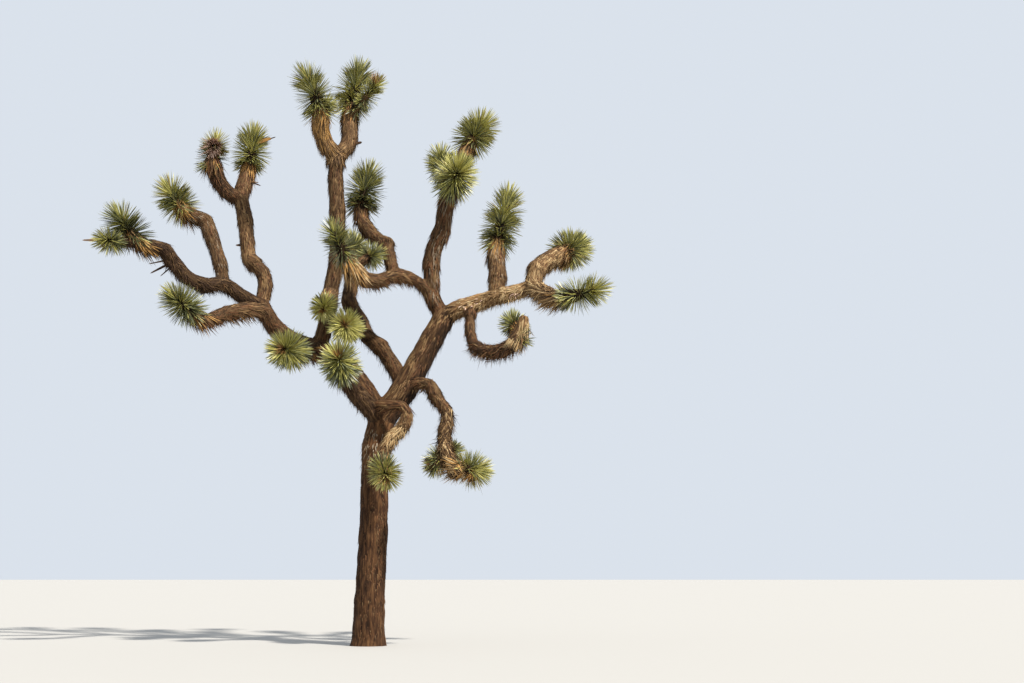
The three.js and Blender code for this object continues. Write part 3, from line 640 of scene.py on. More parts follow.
def tone_and_painted_light_at(name, at, out):
    """By what share places on a shoot are lighter than the shoot is elsewhere: its pale stretches, painted
    light on the trunk's top, and painted light and shade on a lit side.
    """
    paler = np.zeros(len(at))
    for low, high, share in TONE_BANDS_AND_PAINTED_LIGHT.get(name, []):
        paler += share * np.clip((at - low) / BAND_EDGE, 0, 1) * np.clip((high - at) / BAND_EDGE, 0, 1)
    if name in PAINTED_LIGHT_SIDES:
        facing, share = PAINTED_LIGHT_SIDES[name]
        paler += share * dot(out, direction(*facing))
    return paler


def numbers_on(mesh, name, values):
    kind = "FLOAT_VECTOR" if values.ndim == 2 else "FLOAT"
    made = mesh.attributes.new(name, kind, "POINT")
    made.data.foreach_set("vector" if values.ndim == 2 else "value", values.astype(np.float32).ravel())


def make_bark(shoots):
    points, squares, edges = blended_skin(shoots)
    points[:, 2] = np.maximum(points[:, 2], 0)
    owner, sample, spare = nearest_shoot(points, shoots)
    fork = np.clip(1 - spare / FORK_REACH, 0, 1) * (points[:, 2] > 0)
    points = smoothed(points, edges, mix(SMOOTHED, 1.0, fork) * (points[:, 2] > 0), FORK_ROUNDS)

    def on_skin(rows):
        """What the rows of each shoot say for each point of the skin."""
        return np.array([rows[o][s] for o, s in zip(owner, sample)])

    age = on_skin(carried_on(shoots, age_of, AGE_CARRIED))
    # how light the bark is at each point: each limb's own tone, with painted shade and painted light
    light = on_skin(carried_on(shoots, tone_and_painted_shade_of, LIGHT_CARRIED))
    place = unrolled(points, owner, sample, shoots)
    heights = np.array([relief_at(p, a) for p, a in zip(place, age)])
    centre = on_skin([shoot.centre for shoot in shoots.values()])
    tangent = on_skin([shoot.tangent for shoot in shoots.values()])
    out = square_to(points - centre, tangent)
    # painted light on the trunk's top and on the side of some limbs that faces the light, painted shade on
    # the other side
    for number, (name, shoot) in enumerate(shoots.items()):
        mine = owner == number
        light[mine] *= 1 + tone_and_painted_light_at(name, shoot.along[sample[mine]], out[mine])
    rise = (heights[:, 0] * (1 - CALMER_FORKS * fork) + heights[:, 1])[:, None]
    points += out * rise
    points[:, 2] = np.maximum(points[:, 2], 0)
    piece_of = {limb: number for number, (_, limbs) in enumerate(BARK_PIECES.values()) for limb in limbs}
    for name, (on, *_) in TUFTS.items():
        piece_of[name] = piece_of[on[0]]
    which = np.array([piece_of[name] for name in shoots])[owner][squares[:, 0]]
    for number, (name, (slot, limbs)) in enumerate(BARK_PIECES.items()):
        mine = squares[which == number]
        used, corners = np.unique(mine, return_inverse=True)
        piece = mesh_piece(name, points[used], corners.reshape(-1, 4), smooth=True)
        numbers_on(piece.data, "bark_place", place[used])
        numbers_on(piece.data, "bark_height", heights[used, 0] / RIDGE_HEIGHT)
        numbers_on(piece.data, "bark_age", age[used])
        numbers_on(piece.data, "bark_light", light[used])
        piece.data.materials.append(bark_material(name))
        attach(piece, "root")
        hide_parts(*limbs)


# Leaves

# The darkest and the lightest tone of each kind of leaf. The first is for withered leaves among the living,
# and the greens go from a tuft's oldest leaves to its youngest; they also carry painted shade on lower leaves
# and painted light on upper ones.
LEAF_COLOURS = {
    "leaves_straw": ((0.27, 0.2, 0.07), (0.37, 0.29, 0.11)),
    "leaves_deep": ((0.035, 0.039, 0.016), (0.075, 0.08, 0.032)),
    "leaves_grey_green": ((0.13, 0.138, 0.064), (0.21, 0.22, 0.105)),
    "leaves_green": ((0.2, 0.197, 0.045), (0.3, 0.282, 0.072)),
    "leaves_lime": ((0.35, 0.33, 0.088), (0.49, 0.455, 0.15)),
    "dead_umber": ((0.027, 0.013, 0.006), (0.054, 0.028, 0.014)),
    "dead_rust": ((0.082, 0.035, 0.014), (0.145, 0.066, 0.028)),
    "dead_brown": ((0.082, 0.046, 0.02), (0.135, 0.078, 0.035)),
    "dead_tan": ((0.175, 0.103, 0.044), (0.265, 0.163, 0.073)),
    "dead_grey": ((0.17, 0.13, 0.088), (0.26, 0.205, 0.145)),
    "dead_straw": ((0.33, 0.225, 0.11), (0.48, 0.345, 0.18)),
    "dead_orange": ((0.25, 0.13, 0.038), (0.42, 0.235, 0.075)),
    "dead_husk": ((0.4, 0.26, 0.2), (0.6, 0.43, 0.35)),
}
LEAF_KINDS = [kind for kind in LEAF_COLOURS if kind.startswith("leaves")]
DEAD_KINDS = [kind for kind in LEAF_COLOURS if kind.startswith("dead")]
ASIDE = 0.3  # keeps a shoot's side from being in line with the middle of a spray
BELOW_ONE = 0.999  # so that the last kind isn't passed


def spikes(foot, along, face, length, width, thick, stations, bend=None):
    """Many closed three-sided spikes at once, a row of each array for one. Each has a ring of three corners
    at each station, which is a share of the length and one of the width, and a tip moved aside by bend."""
    count = len(foot)
    bend = np.zeros((count, 3)) if bend is None else bend
    across = unit(np.cross(along, face))
    face = np.cross(across, along)
    rings = []
    for share, wide in stations:
        middle = foot + along * (length * share)[:, None] + bend * share**2
        half, deep = (width * wide / 2)[:, None], (thick * wide)[:, None]
        rings += [middle + across * half, middle - face * deep, middle - across * half]
    rings.append(foot + along * length[:, None] + bend)
    points = np.stack(rings, 1)
    corners = 3 * len(stations) + 1
    faces = [(2, 1, 0)]
    for ring in range(len(stations) - 1):
        for c in range(3):
            a, b = 3 * ring + c, 3 * ring + (c + 1) % 3
            faces += [(a, b, b + 3), (a, b + 3, a + 3)]
    last = corners - 4
    faces += [(last + c, last + (c + 1) % 3, corners - 1) for c in range(3)]
    faces = np.array(faces)[None] + np.arange(count)[:, None, None] * corners
    return points.reshape(-1, 3), faces.reshape(-1, 3)


def clear_of_others(name, points, shoots):
    """Which points lie outside every shoot but the one they belong to."""
    clear = np.ones(len(points), bool)
    for other, shoot in shoots.items():
        if other != name:
            for part, away in near_shoot(points, shoot, 0, clear):
                clear[part] = away.min(1) >= 0
    return clear


def on_shoot(shoot, at):
    """Centre, tangent, side and radius at distances along a shoot."""
    centre, tangent, side = [between(at, shoot.along, v) for v in (shoot.centre, shoot.tangent, shoot.side)]
    tangent = unit(tangent)
    return centre, tangent, square_to(side, tangent), np.interp(at, shoot.along, shoot.radius)


def any_turn(count, random):
    """Turns round a limb, in radians."""
    return random.random(count) * 2 * math.pi


def round_about(tangent, side, turn):
    """The direction square to the tangent, a turn round it from side."""
    return side * np.cos(turn)[:, None] + np.cross(tangent, side) * np.sin(turn)[:, None]


def spread_about(middle, side, spread, random):
    """Directions on all sides of a middle one, up to so many radians away from it."""
    count = len(middle)
    out = round_about(middle, square_to(side + ASIDE * UP, middle), any_turn(count, random))
    off = spread * np.sqrt(random.random(count))[:, None]
    return middle * np.cos(off) + out * np.sin(off), out


# Green leaves: a stiff dagger, widest near its foot
LEAF_SEED = 41
LEAF_STATIONS = ((0, 0.8), (0.35, 1.0), (0.8, 0.72))
LEAF_WIDTH = 0.0128
LEAF_WIDTHS = (0.8, 1.15)  # the narrowest and the widest against that
FULL_REACH = 0.3  # the reach of a tuft whose leaves are as wide as that
REACHLESS_WIDTH = 0.75  # how wide they would be in a tuft of no reach
LEAF_THICKNESS = 0.0045
LEAF_SPACING = 0.047  # between the tips of neighbours, at full reach
LEAF_FOOT = 0.3  # how deep in the stem a leaf starts, against the stem's radius
LOWEST_ANGLE, HIGHEST_ANGLE = 2.5, 0.06  # between a leaf and its stem's direction, in radians
FLOWERED_ANGLE = 0.42  # no living leaf stands nearer to the tip than this where a tuft has flowered
ANGLE_WANDER, TURN_WANDER = 0.22, 0.5
FACE_LEAN, FACE_WANDER = 0.4, 0.25  # how far the leaves' faces lean back, and how unlike they are
SHORTEST, LONGEST = 0.8, 1.07
LEAFY_STEMS = {"tuft_top_east_side": 0.5}  # side stems with leaves further down than in the solids
# Tufts where a dried head of flowers takes the place of living leaves: where it points, as a lean and a
# turn, and how far round that there are none, in degrees
BARE_FRONTS = {"tuft_riser_west": ((-8, 130), 58), "tuft_droop_right": ((-150, 30), 45)}
SPACE_GAP = 0.004
STEM_SAMPLES = 4
LEAF_TESTS = (0.4, 0.7, 1.0)  # how far along a leaf it is tested for room
SHORTER = (0.5, 0.7, 1.0)  # a leaf with no room at full length has the longest of these that fits
LEAF_DROOP = 0.05  # how far a level leaf's tip sags, as a share of its length
WHORL = 0.22  # a longer tuft's leaves gather in whorls, this far apart down the stem
WHORL_TURN = 0.42  # how far a whorl's upper leaves stand up and its lower ones hang back
WHORL_DIP = 0.16  # how much shorter the leaves are between two whorls

# Where each tuft lies between the oldest and darkest greens, 0, and the youngest and lightest, 1, with
# painted light on tufts that face the light and painted shade on tufts that lie in shade
USUAL_TONE = 0.48
TONES = {
    "tuft_front": 0.46, "tuft_mid": 0.9, "tuft_hanging": 0.7, "tuft_front_left": 0.56, "tuft_loop": 0.62,
    "tuft_centre_front": 0.62, "tuft_cross_west": 0.36, "tuft_cross_riser": 0.42, "tuft_far_left": 0.28,
    "tuft_low_left": 0.38, "tuft_droop_left": 0.46, "tuft_far_left_riser": 0.54, "tuft_right_riser": 0.58,
    "tuft_top_east": 0.66, "tuft_riser_east": 0.58, "tuft_centre_north": 0.74, "tuft_droop_right": 0.62,
    "tuft_top_west": 0.5, "tuft_right_shoulder": 0.58, "tuft_hook": 0.4, "tuft_top_east_side": 0.56,
    "tuft_right_reach": 0.6,
}
YOUTH_AND_LIGHT_GAIN = 0.45  # how much lighter the topmost leaves of a tuft are than the lowest: younger leaves, and painted shade on the lowest
OTHER_GAINS = {"tuft_top_east": -0.3, "tuft_riser_west": 0.7, "tuft_top_west": 0.1, "tuft_riser_east": 0.2}
TONE_WANDER = 0.29
WITHERED = 0.025  # dry leaves among the living
WITHERED_LOW, LOW_SHARE = 0.14, 0.08  # and among the lowest of them

# Small sprigs of living leaves on a limb or stem: how far along it, where the sprig points, its spread in
# radians, how many leaves and how long
SPRIGS = [
    ("hook_spur", 0.08, (96, 48), 0.85, 44, 0.28),
    ("tuft_riser_west", 0.06, (-128, 30), 0.42, 44, 0.34),
    ("tuft_riser_west", 0.08, (150, 20), 0.45, 24, 0.28),
]
SPRIG_KINDS = LEAF_KINDS[1:4]
SPRIG_SHORTEST, SPRIG_WIDTH = 0.75, 0.85


def heart_points(name, shoots):
    """Points along the leafy part of a tuft's stem, from which its reach is counted."""
    shoot, leafy = shoots[name], LEAFY_STEMS.get(name, TUFTS[name][2])
    at = shoot.along[-1] - leafy + leafy * np.arange(STEM_SAMPLES + 1) / STEM_SAMPLES
    return between(at, shoot.along, shoot.centre)


def share_of_reach(points, hearts, reach):
    return np.linalg.norm(points[:, None] - hearts[None], axis=2).min(1) / reach


def tuft_leaves(name, shoots, random):
    """A tuft's leaves on a golden spiral: their places, their shapes and how far up the stem each is, from 0
    to 1: the lower, the older and the more shaded it is painted.
    """
    reach = TUFTS[name][3]
    leafy = LEAFY_STEMS.get(name, TUFTS[name][2])
    shoot = shoots[name]
    outside = 2 * math.pi * reach * (leafy + reach * (1 - math.cos(LOWEST_ANGLE)))
    count = round(outside / LEAF_SPACING**2)
    share = (np.arange(count) + 0.5) / count
    highest = FLOWERED_ANGLE if name in FLOWERED else HIGHEST_ANGLE
    angle = np.arccos(mix(math.cos(LOWEST_ANGLE), math.cos(highest), share))
    wave = 2 * math.pi * leafy * (1 - share) / WHORL * (leafy > WHORL)
    angle = np.abs(angle + ANGLE_WANDER * (random.random(count) - 0.5) + WHORL_TURN * np.sin(wave))
    centre, tangent, side, radius = on_shoot(shoot, shoot.along[-1] - leafy * (1 - share))
    turn = np.arange(count) * GOLDEN_ANGLE + TURN_WANDER * (random.random(count) - 0.5)
    out = round_about(tangent, side, turn)
    along = tangent * np.cos(angle)[:, None] + out * np.sin(angle)[:, None]
    inside = radius * LEAF_FOOT
    full = reach * (1 - WHORL_DIP * (0.5 - 0.5 * np.cos(wave)))
    length = full * mix(SHORTEST, LONGEST, random.random(count)) - inside
    foot = centre + along * inside[:, None]
    face = tangent - out * FACE_LEAN + random.normal(0, FACE_WANDER, (count, 3))
    level = np.linalg.norm(along[:, :2], axis=1)
    bend = -UP * (LEAF_DROOP * length * level * random.random(count))[:, None]
    return foot, along, face, length, bend, share


def sprig_leaves(limb, distance, pointing, spread, count, longest, shoots, random):
    foot, tangent, side, _ = on_shoot(shoots[limb], np.full(count, distance))
    middle = np.broadcast_to(direction(*pointing), tangent.shape)
    along, out = spread_about(middle, side, spread, random)
    length = longest * mix(SPRIG_SHORTEST, 1, random.random(count))
    width = np.full(count, LEAF_WIDTH * SPRIG_WIDTH)
    return foot, along, out, length, width, width * LEAF_THICKNESS / LEAF_WIDTH


def with_room(name, foot, along, length, bend, shoots, hearts):
    """Which leaves stay in their tuft's own space and clear of every limb."""
    reach = TUFTS[name][3]
    good = np.ones(len(foot), bool)
    for test in LEAF_TESTS:
        point = foot + along * (length * test)[:, None] + bend * test**2
        own = share_of_reach(point, hearts[name], reach) + SPACE_GAP / reach
        for other, (_, _, _, other_reach) in TUFTS.items():
            if other != name:
                good &= share_of_reach(point, hearts[other], other_reach) >= own
        good &= clear_of_others(name, point, shoots)
    return good


def make_leaves(shoots):
    random = np.random.default_rng(LEAF_SEED)
    hearts = {name: heart_points(name, shoots) for name in TUFTS}
    kinds = {kind: [] for kind in LEAF_KINDS}
    for name, (_, _, _, reach) in TUFTS.items():
        foot, along, face, length, bend, share = tuft_leaves(name, shoots, random)
        keep = np.ones(len(foot), bool)
        if name in BARE_FRONTS:
            pointing, angle = BARE_FRONTS[name]
            keep &= dot(along, direction(*pointing)) < math.cos(math.radians(angle))
        fit = np.zeros(len(foot))
        for shorter in SHORTER:
            fit[with_room(name, foot, along, length * shorter, bend * shorter, shoots, hearts)] = shorter
        keep &= fit > 0
        length, bend = length * fit, bend * fit[:, None]
        gain = OTHER_GAINS.get(name, YOUTH_AND_LIGHT_GAIN)
        tone = TONES.get(name, USUAL_TONE)
        # lighter greens for younger and upper leaves; the lower leaves' darker greens are partly painted
        # shade
        young = tone + gain * (share - 0.5) + random.normal(0, TONE_WANDER, len(share))
        kind_of = 1 + (np.clip(young, 0, BELOW_ONE) * (len(LEAF_KINDS) - 1)).astype(int)
        withered = random.random(len(share)) < np.where(share < LOW_SHARE, WITHERED_LOW, WITHERED)
        kind_of = np.where(withered, 0, kind_of)
        width = LEAF_WIDTH * mix(*LEAF_WIDTHS, random.random(len(foot)))
        width = width * mix(REACHLESS_WIDTH, 1, reach / FULL_REACH)
        shape = (foot, along, face, length, width, width * LEAF_THICKNESS / LEAF_WIDTH)
        for number, kind in enumerate(LEAF_KINDS):
            mine = keep & (kind_of == number)
            kinds[kind].append(spikes(*[values[mine] for values in shape], LEAF_STATIONS, bend[mine]))
    for sprig in SPRIGS:
        shape = sprig_leaves(*sprig, shoots, random)
        for number, kind in enumerate(SPRIG_KINDS):
            mine = slice(number, None, len(SPRIG_KINDS))
            kinds[kind].append(spikes(*[values[mine] for values in shape], LEAF_STATIONS))
    for kind, parts in kinds.items():
        piece = mesh_piece(kind, *merged(parts))
        piece.data.materials.append(leaf_material(kind))
        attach(piece, "root")
        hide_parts(*TUFTS)


# Dead leaves

DEAD_SEED = 7
DEAD_STATIONS = ((0, 0.8), (0.5, 1.0))
STRAND_STATIONS = ((0, 1.0),)
STALK_STATIONS = ((0, 0.8), (0.5, 1.0), (0.9, 0.6))
DEAD_THICKNESS, STALK_THICKNESS = 0.3, 0.8  # against their widths
DEAD_PER_AREA = 1700  # long dead leaves on a square metre of fully covered limb
STUBS_PER_AREA = 1500  # short leaf bases on a square metre of any limb
DEAD_LENGTH = (0.09, 0.2)
STUB_LENGTH = (0.03, 0.075)
DEAD_WIDTH = (0.007, 0.015)
JUST_OFF_GROUND = 0.002  # no dead leaf hangs lower

# How they hang
STEEP = -0.6  # the upward part of a limb's direction below which it falls steeply
LOOSE_BESIDE, LEAST_LOOSE, MOST_LOOSE = 0.6, 0.15, 1.4  # how loose on a limb's sides, above and below
LIFTS = (0.3, 1.7)  # the least and the greatest lift, against the usual one
STRAY, CURLED_STRAY, TIGHT_STRAY = 0.06, 0.5, 0.3  # of straight leaves, more of curled ones, where tight
SAG, SAG_UNDER, SAG_UNCURLED = 0.15, 0.9, 0.3  # anywhere, more under a limb, and there for straight leaves
OFF_BARK = 0.05
ROOT_OUT, ROOT_BACK = 0.97, 0.012  # how far out a leaf starts, against the radius, and how far back
CURL, CURL_DOWN = 0.35, 0.25  # how far a curled leaf bends aside and down, against its length

# Which tones they are dealt
PATCH = (0.022, 0.11)  # leaves of one tone lie together in patches: across and along
PATCH_START = 10  # the patches of each shoot start somewhere up to this
PATCH_CONTRAST = 1.3
PATCHY = 0.4  # how much of a leaf's tone its patch decides
# dead leaves share the limb's paleness, its painted light and shade included
SHARED_TONE_AND_LIGHT = 0.6  # how much of a limb's paleness its dead leaves share

# The coat of a limb
SHORTEST_STEM = 0.05  # the least bare stem under a tuft
STEM_COVER = 1.1
STUBS_UNCOVERED = 0.6  # share of the leaf bases that stay where a limb has few long leaves
STUBS_ON_TRUNK = 0.35
STUB_LIFT = 1.3
BURIED = 0.03  # a leaf is left out where a point this far outside its foot lies in another limb
BARE_FOOT = 0.1  # height of the trunk's foot without dead leaves

# The skirt under a tuft
SKIRT_LENGTH = (0.13, 0.27)
SKIRT_SPACING = 0.0007  # square metres of stem for one leaf
SKIRT_DEPTH = 0.26  # how far down the bare stem its roots go
SKIRT_RISE = 0.01  # how far under the lowest living leaves they end
SKIRT_LIE = (12, 0.1, 1)
SKIRT_PATCHY = 0.2
SKIRT_CLEAR = 0.1  # how far along a leaf it mustn't lie in another limb
ORANGE, ORANGE_LOW = 0.2, 0.4  # share of orange leaves, and how much of that share the lowest have
SKIRT_ORANGE = {
    "tuft_top_west": 1.2, "tuft_top_east": 0.4, "tuft_riser_east": 0.85, "tuft_riser_west": 0.3,
    "tuft_far_left_riser": 0.7, "tuft_far_left": 0.6, "tuft_right_riser": 0.45, "tuft_right_shoulder": 0.3,
    "tuft_hook": 0.4, "tuft_droop_right": 0.5, "tuft_low_left": 0.35, "tuft_cross_west": 0.3,
}

# Heads of short dry leaves round a tuft's tip, where it has flowered: how many leaves, and how far out
# against the tuft's reach
FLOWERED = {
    "tuft_front_left": (44, 0.85), "tuft_front": (44, 0.85), "tuft_mid": (36, 0.8), "tuft_hanging": (24, 0.7),
    "tuft_loop": (34, 0.85),
}
FLOWERED_TONES = "brown tan orange orange"
# The same on a tuft's side: where the head points, as a lean and a turn, how wide it is in radians, how
# many leaves, how far out and their tones
SIDE_HEADS = [
    ("tuft_riser_west", (-8, 116), 0.68, 440, 1.05, "brown husk husk husk husk"),
    ("tuft_riser_west", (-8, 142), 1.0, 320, 1.0, "rust rust brown tan"),
    ("tuft_loop", (-160, 60), 0.5, 70, 0.95, "brown orange straw"),
    ("tuft_droop_left", (-95, 20), 0.9, 170, 1.0, "umber rust brown"),
    ("tuft_droop_right", (-150, 30), 0.8, 130, 0.95, "brown tan orange orange"),
    ("tuft_top_east_side", (12, 25), 0.75, 120, 1.0, "umber tan husk orange"),
]
HEART_DEPTH = 0.05
HEART_SPREAD = 0.55
HEAD_SHORTEST, HEAD_BEND = 0.6, 0.1

# Thick bundles of dead leaves that hang from one stretch of a limb or stem: the stretch, how many leaves,
# how far they stand off in degrees, how long they are and their tones
THATCHES = [
    ("crown_riser", (2.7, 2.83), 260, 25, (0.06, 0.14), "umber brown tan"),
    ("top_west", (0.0, 0.2), 150, 18, (0.1, 0.2), "umber brown tan orange"),
    ("top_east", (0.0, 0.2), 150, 18, (0.1, 0.2), "umber brown tan"),
    ("tuft_cross_west", (0.02, 0.26), 240, 24, (0.16, 0.3), "tan straw orange"),
    ("cross_riser", (1.1, 1.28), 110, 26, (0.08, 0.16), "umber brown tan"),
    ("tuft_riser_west", (0.0, 0.14), 190, 30, (0.14, 0.28), "umber rust brown orange"),
    ("right_arm", (0.27, 0.62), 260, 38, (0.02, 0.06), "tan straw straw husk"),
    ("right_arm", (0.86, 1.18), 220, 38, (0.02, 0.06), "tan straw straw husk"),
    ("loop_return", (0.2, 0.45), 160, 22, (0.05, 0.14), "husk straw straw tan"),
    ("right_reach", (0.05, 0.4), 160, 30, (0.06, 0.16), "brown tan straw"),
    ("tuft_droop_right", (0.0, 0.22), 190, 16, (0.12, 0.24), "tan straw orange"),
    ("hook_spur", (0.28, 0.38), 130, 6, (0.2, 0.34), "tan straw straw"),
    ("low_left_arm", (0.5, 1.0), 200, 20, (0.12, 0.22), "rust brown tan"),
    ("trunk", (2.3, 2.8), 260, 22, (0.04, 0.12), "rust brown tan grey"),
    ("drooping_arm", (0.1, 0.95), 280, 34, (0.05, 0.12), "umber rust brown tan"),
    ("tuft_far_left_riser", (0.18, 0.38), 150, 24, (0.14, 0.27), "tan orange orange"),
    ("tuft_far_left", (0.2, 0.4), 120, 22, (0.14, 0.27), "tan orange"),
    ("tuft_right_shoulder", (0.3, 0.46), 120, 30, (0.1, 0.2), "tan orange"),
    ("tuft_top_west", (0.0, 0.14), 160, 14, (0.12, 0.24), "tan orange orange straw"),
    ("front_left_spur", (0.1, 0.5), 200, 26, (0.1, 0.2), "rust umber brown orange"),
]
THATCH_CURL = 0.15
THATCH_CLEAR = 0.08

# Dry stalks of old flowers and broken twigs: the limb or stem, how far along it, the stalk as a run from
# its middle, its thickness and its tone
STALKS = [
    ("tuft_far_left_low", 0.62, (0.3, -96, 20), 0.035, "brown"),
    ("far_left_arm", 1.46, (0.36, -128, 25), 0.032, "umber"),
    ("far_left_arm", 1.5, (0.32, -112, 30), 0.022, "brown"),
    ("far_left_arm", 1.42, (0.27, -140, 20), 0.02, "umber"),
    ("tuft_riser_east", 0.585, (0.37, 86, 30), 0.07, "orange"),
    ("tuft_riser_east", 0.575, (0.44, 83, 26), 0.028, "umber"),
    ("riser_east", 0.4, (0.32, 118, 25), 0.03, "umber"),
    ("riser_east", 0.38, (0.25, 105, 25), 0.025, "brown"),
    ("left_riser", 1.14, (0.17, -95, 10), 0.05, "umber"),
    ("top_east", 0.3, (0.21, 84, 10), 0.055, "umber"),
    ("hook_spur", 0.3, (0.26, 142, 20), 0.01, "brown"),
    ("hook_spur", 0.35, (0.085, 8, 82), 0.035, "umber"),
]


def hanging(shoot, at, lengths, lie, random):
    """Dead leaves from distances along a shoot: back along it, a little off it, and down with their weight.
    Where the limb falls steeply they hang on along it."""
    lift, curl, long = lie
    count = len(at)
    length = mix(*lengths, random.random(count)) * long
    turn = any_turn(count, random)
    centre, tangent, side, radius = on_shoot(shoot, at)
    out = round_about(tangent, side, turn)
    back = np.where(tangent[:, 2] < STEEP, 1, -1)[:, None] * tangent
    loose = np.clip(LOOSE_BESIDE - out[:, 2], LEAST_LOOSE, MOST_LOOSE)
    off = np.radians(lift * mix(*LIFTS, random.random(count)) * loose)[:, None]
    stray = random.normal(0, STRAY + CURLED_STRAY * curl, (count, 3))
    stray *= np.minimum(1, loose + TIGHT_STRAY)[:, None]
    along = back * np.cos(off) + out * np.sin(off) + stray
    under = np.clip(-out[:, 2], 0, 1)[:, None]
    along = unit(unit(along) - UP * (SAG + SAG_UNDER * under * (SAG_UNCURLED + curl)))
    into = np.clip(dot(along, out), None, 0)[:, None]
    along = unit(along - out * into + out * OFF_BARK)
    foot = centre + out * (radius * ROOT_OUT)[:, None] - along * ROOT_BACK
    bend = (random.normal(0, CURL, (count, 3)) * curl - UP * CURL_DOWN * curl) * length[:, None]
    return foot, along, out, length, bend, turn


def widths(count, random):
    return mix(*DEAD_WIDTH, random.random(count))


def patches(shoot, at, turn, out, random, patchy=PATCHY):
    """A number from 0 to 1 for each leaf, alike for neighbours and higher where the shoot is paler, painted
    light included.
    """
    radius = np.interp(at, shoot.along, shoot.radius)
    across, along = PATCH
    x, y = radius * np.cos(turn) / across, radius * np.sin(turn) / across
    z = at / along + PATCH_START * random.random()
    smooth = np.array([noise.noise(Vector(place)) for place in zip(x, y, z)])
    even = mix(random.random(len(at)), 0.5 + PATCH_CONTRAST * smooth, patchy)
    return np.clip(even + SHARED_TONE_AND_LIGHT * tone_and_painted_light_at(shoot.name, at, out), 0, BELOW_ONE)


def dealt(tones, place):
    """A kind of dead leaf for each, by a place from 0 to 1 in the tones."""
    kinds = np.array([DEAD_KINDS.index("dead_" + tone) for tone in tones.split()])
    return kinds[(place * len(kinds)).astype(int)]


def coat_leaves(name, shoots, random, add):
    """Long dead leaves and short leaf bases all over a limb, or down the bare part of a tuft's stem."""
    shoot = shoots[name]
    if name in LIMBS:
        cover_foot, cover_tip, lie, tones = COATS[name]
        end = shoot.along[-1]
    else:
        _, cover_tip, lie, tones = COATS[TUFTS[name][0][0]]
        cover_foot = cover_tip = max(cover_tip, STEM_COVER)
        end = max(SHORTEST_STEM, shoot.along[-1] - TUFTS[name][2])
    most = max(cover_foot, cover_tip)
    area = 2 * math.pi * shoot.radius.mean() * end
    stub_lie = (lie[0] * STUB_LIFT, *lie[1:])
    for long, lengths, lie in ((True, DEAD_LENGTH, lie), (False, STUB_LENGTH, stub_lie)):
        at = random.random(round(DEAD_PER_AREA * area * most if long else STUBS_PER_AREA * area)) * end
        cover = mix(cover_foot, cover_tip, at / end) / most
        at = at[random.random(len(at)) < (cover if long else mix(STUBS_UNCOVERED, 1, cover))]
        if name == "trunk" and not long:
            at = at[random.random(len(at)) < STUBS_ON_TRUNK]
        foot, along, out, length, bend, turn = hanging(shoot, at, lengths, lie, random)
        keep = clear_of_others(name, foot + out * BURIED, shoots) & (foot[:, 2] > BARE_FOOT)
        width = widths(len(at), random)
        kind = dealt(tones, patches(shoot, at, turn, out, random))
        add(kind, keep, STRAND_STATIONS, (foot, along, out, length, width, bend))


def skirt_leaves(name, shoots, random, add):
    """The dead leaves that hang close under a tuft's living ones."""
    shoot = shoots[name]
    (limb, _), _, leafy, _ = TUFTS[name]
    top = shoot.along[-1] - leafy - SKIRT_RISE
    low = max(0.0, top + SKIRT_RISE - SKIRT_DEPTH)
    count = round(2 * math.pi * shoot.radius[0] * (top - low) / SKIRT_SPACING)
    at = mix(low, top, random.random(count))
    upper = (at - low) / (top - low)
    foot, along, out, length, bend, turn = hanging(shoot, at, SKIRT_LENGTH, SKIRT_LIE, random)
    place = patches(shoot, at, turn, out, random, SKIRT_PATCHY)
    orange = place > 1 - SKIRT_ORANGE.get(name, ORANGE) * (ORANGE_LOW + upper)
    others = dealt(COATS[limb][3], random.random(count))
    kind = np.where(orange, DEAD_KINDS.index("dead_orange"), others)
    keep = clear_of_others(name, foot + along * SKIRT_CLEAR, shoots)
    add(kind, keep, DEAD_STATIONS, (foot, along, out, length, widths(count, random), bend))


def head_leaves(name, pointing, spread, count, share, tones, shoots, random, add):
    """Short dry leaves that stand out of a tuft's heart on all sides of one direction."""
    shoot = shoots[name]
    at = shoot.along[-1] + HEART_DEPTH * (random.random(count) - 0.5)
    centre, tangent, side, _ = on_shoot(shoot, at)
    middle = np.broadcast_to(direction(*pointing), tangent.shape) if pointing else tangent
    along, out = spread_about(middle, side, spread, random)
    length = TUFTS[name][3] * share * mix(HEAD_SHORTEST, 1, random.random(count))
    width = widths(count, random)
    bend = random.normal(0, HEAD_BEND, (count, 3)) * length[:, None]
    keep = clear_of_others(name, centre + along * length[:, None], shoots)
    kind = dealt(tones, random.random(count))
    add(kind, keep, DEAD_STATIONS, (centre, along, out, length, width, bend))


def thatch_leaves(name, stretch, count, lift, lengths, tones, shoots, random, add):
    """A bundle of long dead leaves that hangs from one stretch of a limb or stem."""
    shoot = shoots[name]
    at = mix(*stretch, random.random(count))
    foot, along, out, length, bend, turn = hanging(shoot, at, lengths, (lift, THATCH_CURL, 1), random)
    keep = clear_of_others(name, foot + along * THATCH_CLEAR, shoots)
    width = widths(count, random)
    kind = dealt(tones, patches(shoot, at, turn, out, random))
    add(kind, keep, DEAD_STATIONS, (foot, along, out, length, width, bend))


def make_stalk(limb, distance, run, thick, tone, shoots, add):
    """A dry stalk or a broken twig, out of the middle of a limb."""
    foot, _, side, _ = on_shoot(shoots[limb], np.array([distance]))
    end = step_from(foot[0], run)
    shape = (foot, unit(end - foot), side, np.array([run[0]]), np.array([thick]), np.zeros((1, 3)))
    add(dealt(tone, np.zeros(1)), np.array([True]), STALK_STATIONS, shape, STALK_THICKNESS)


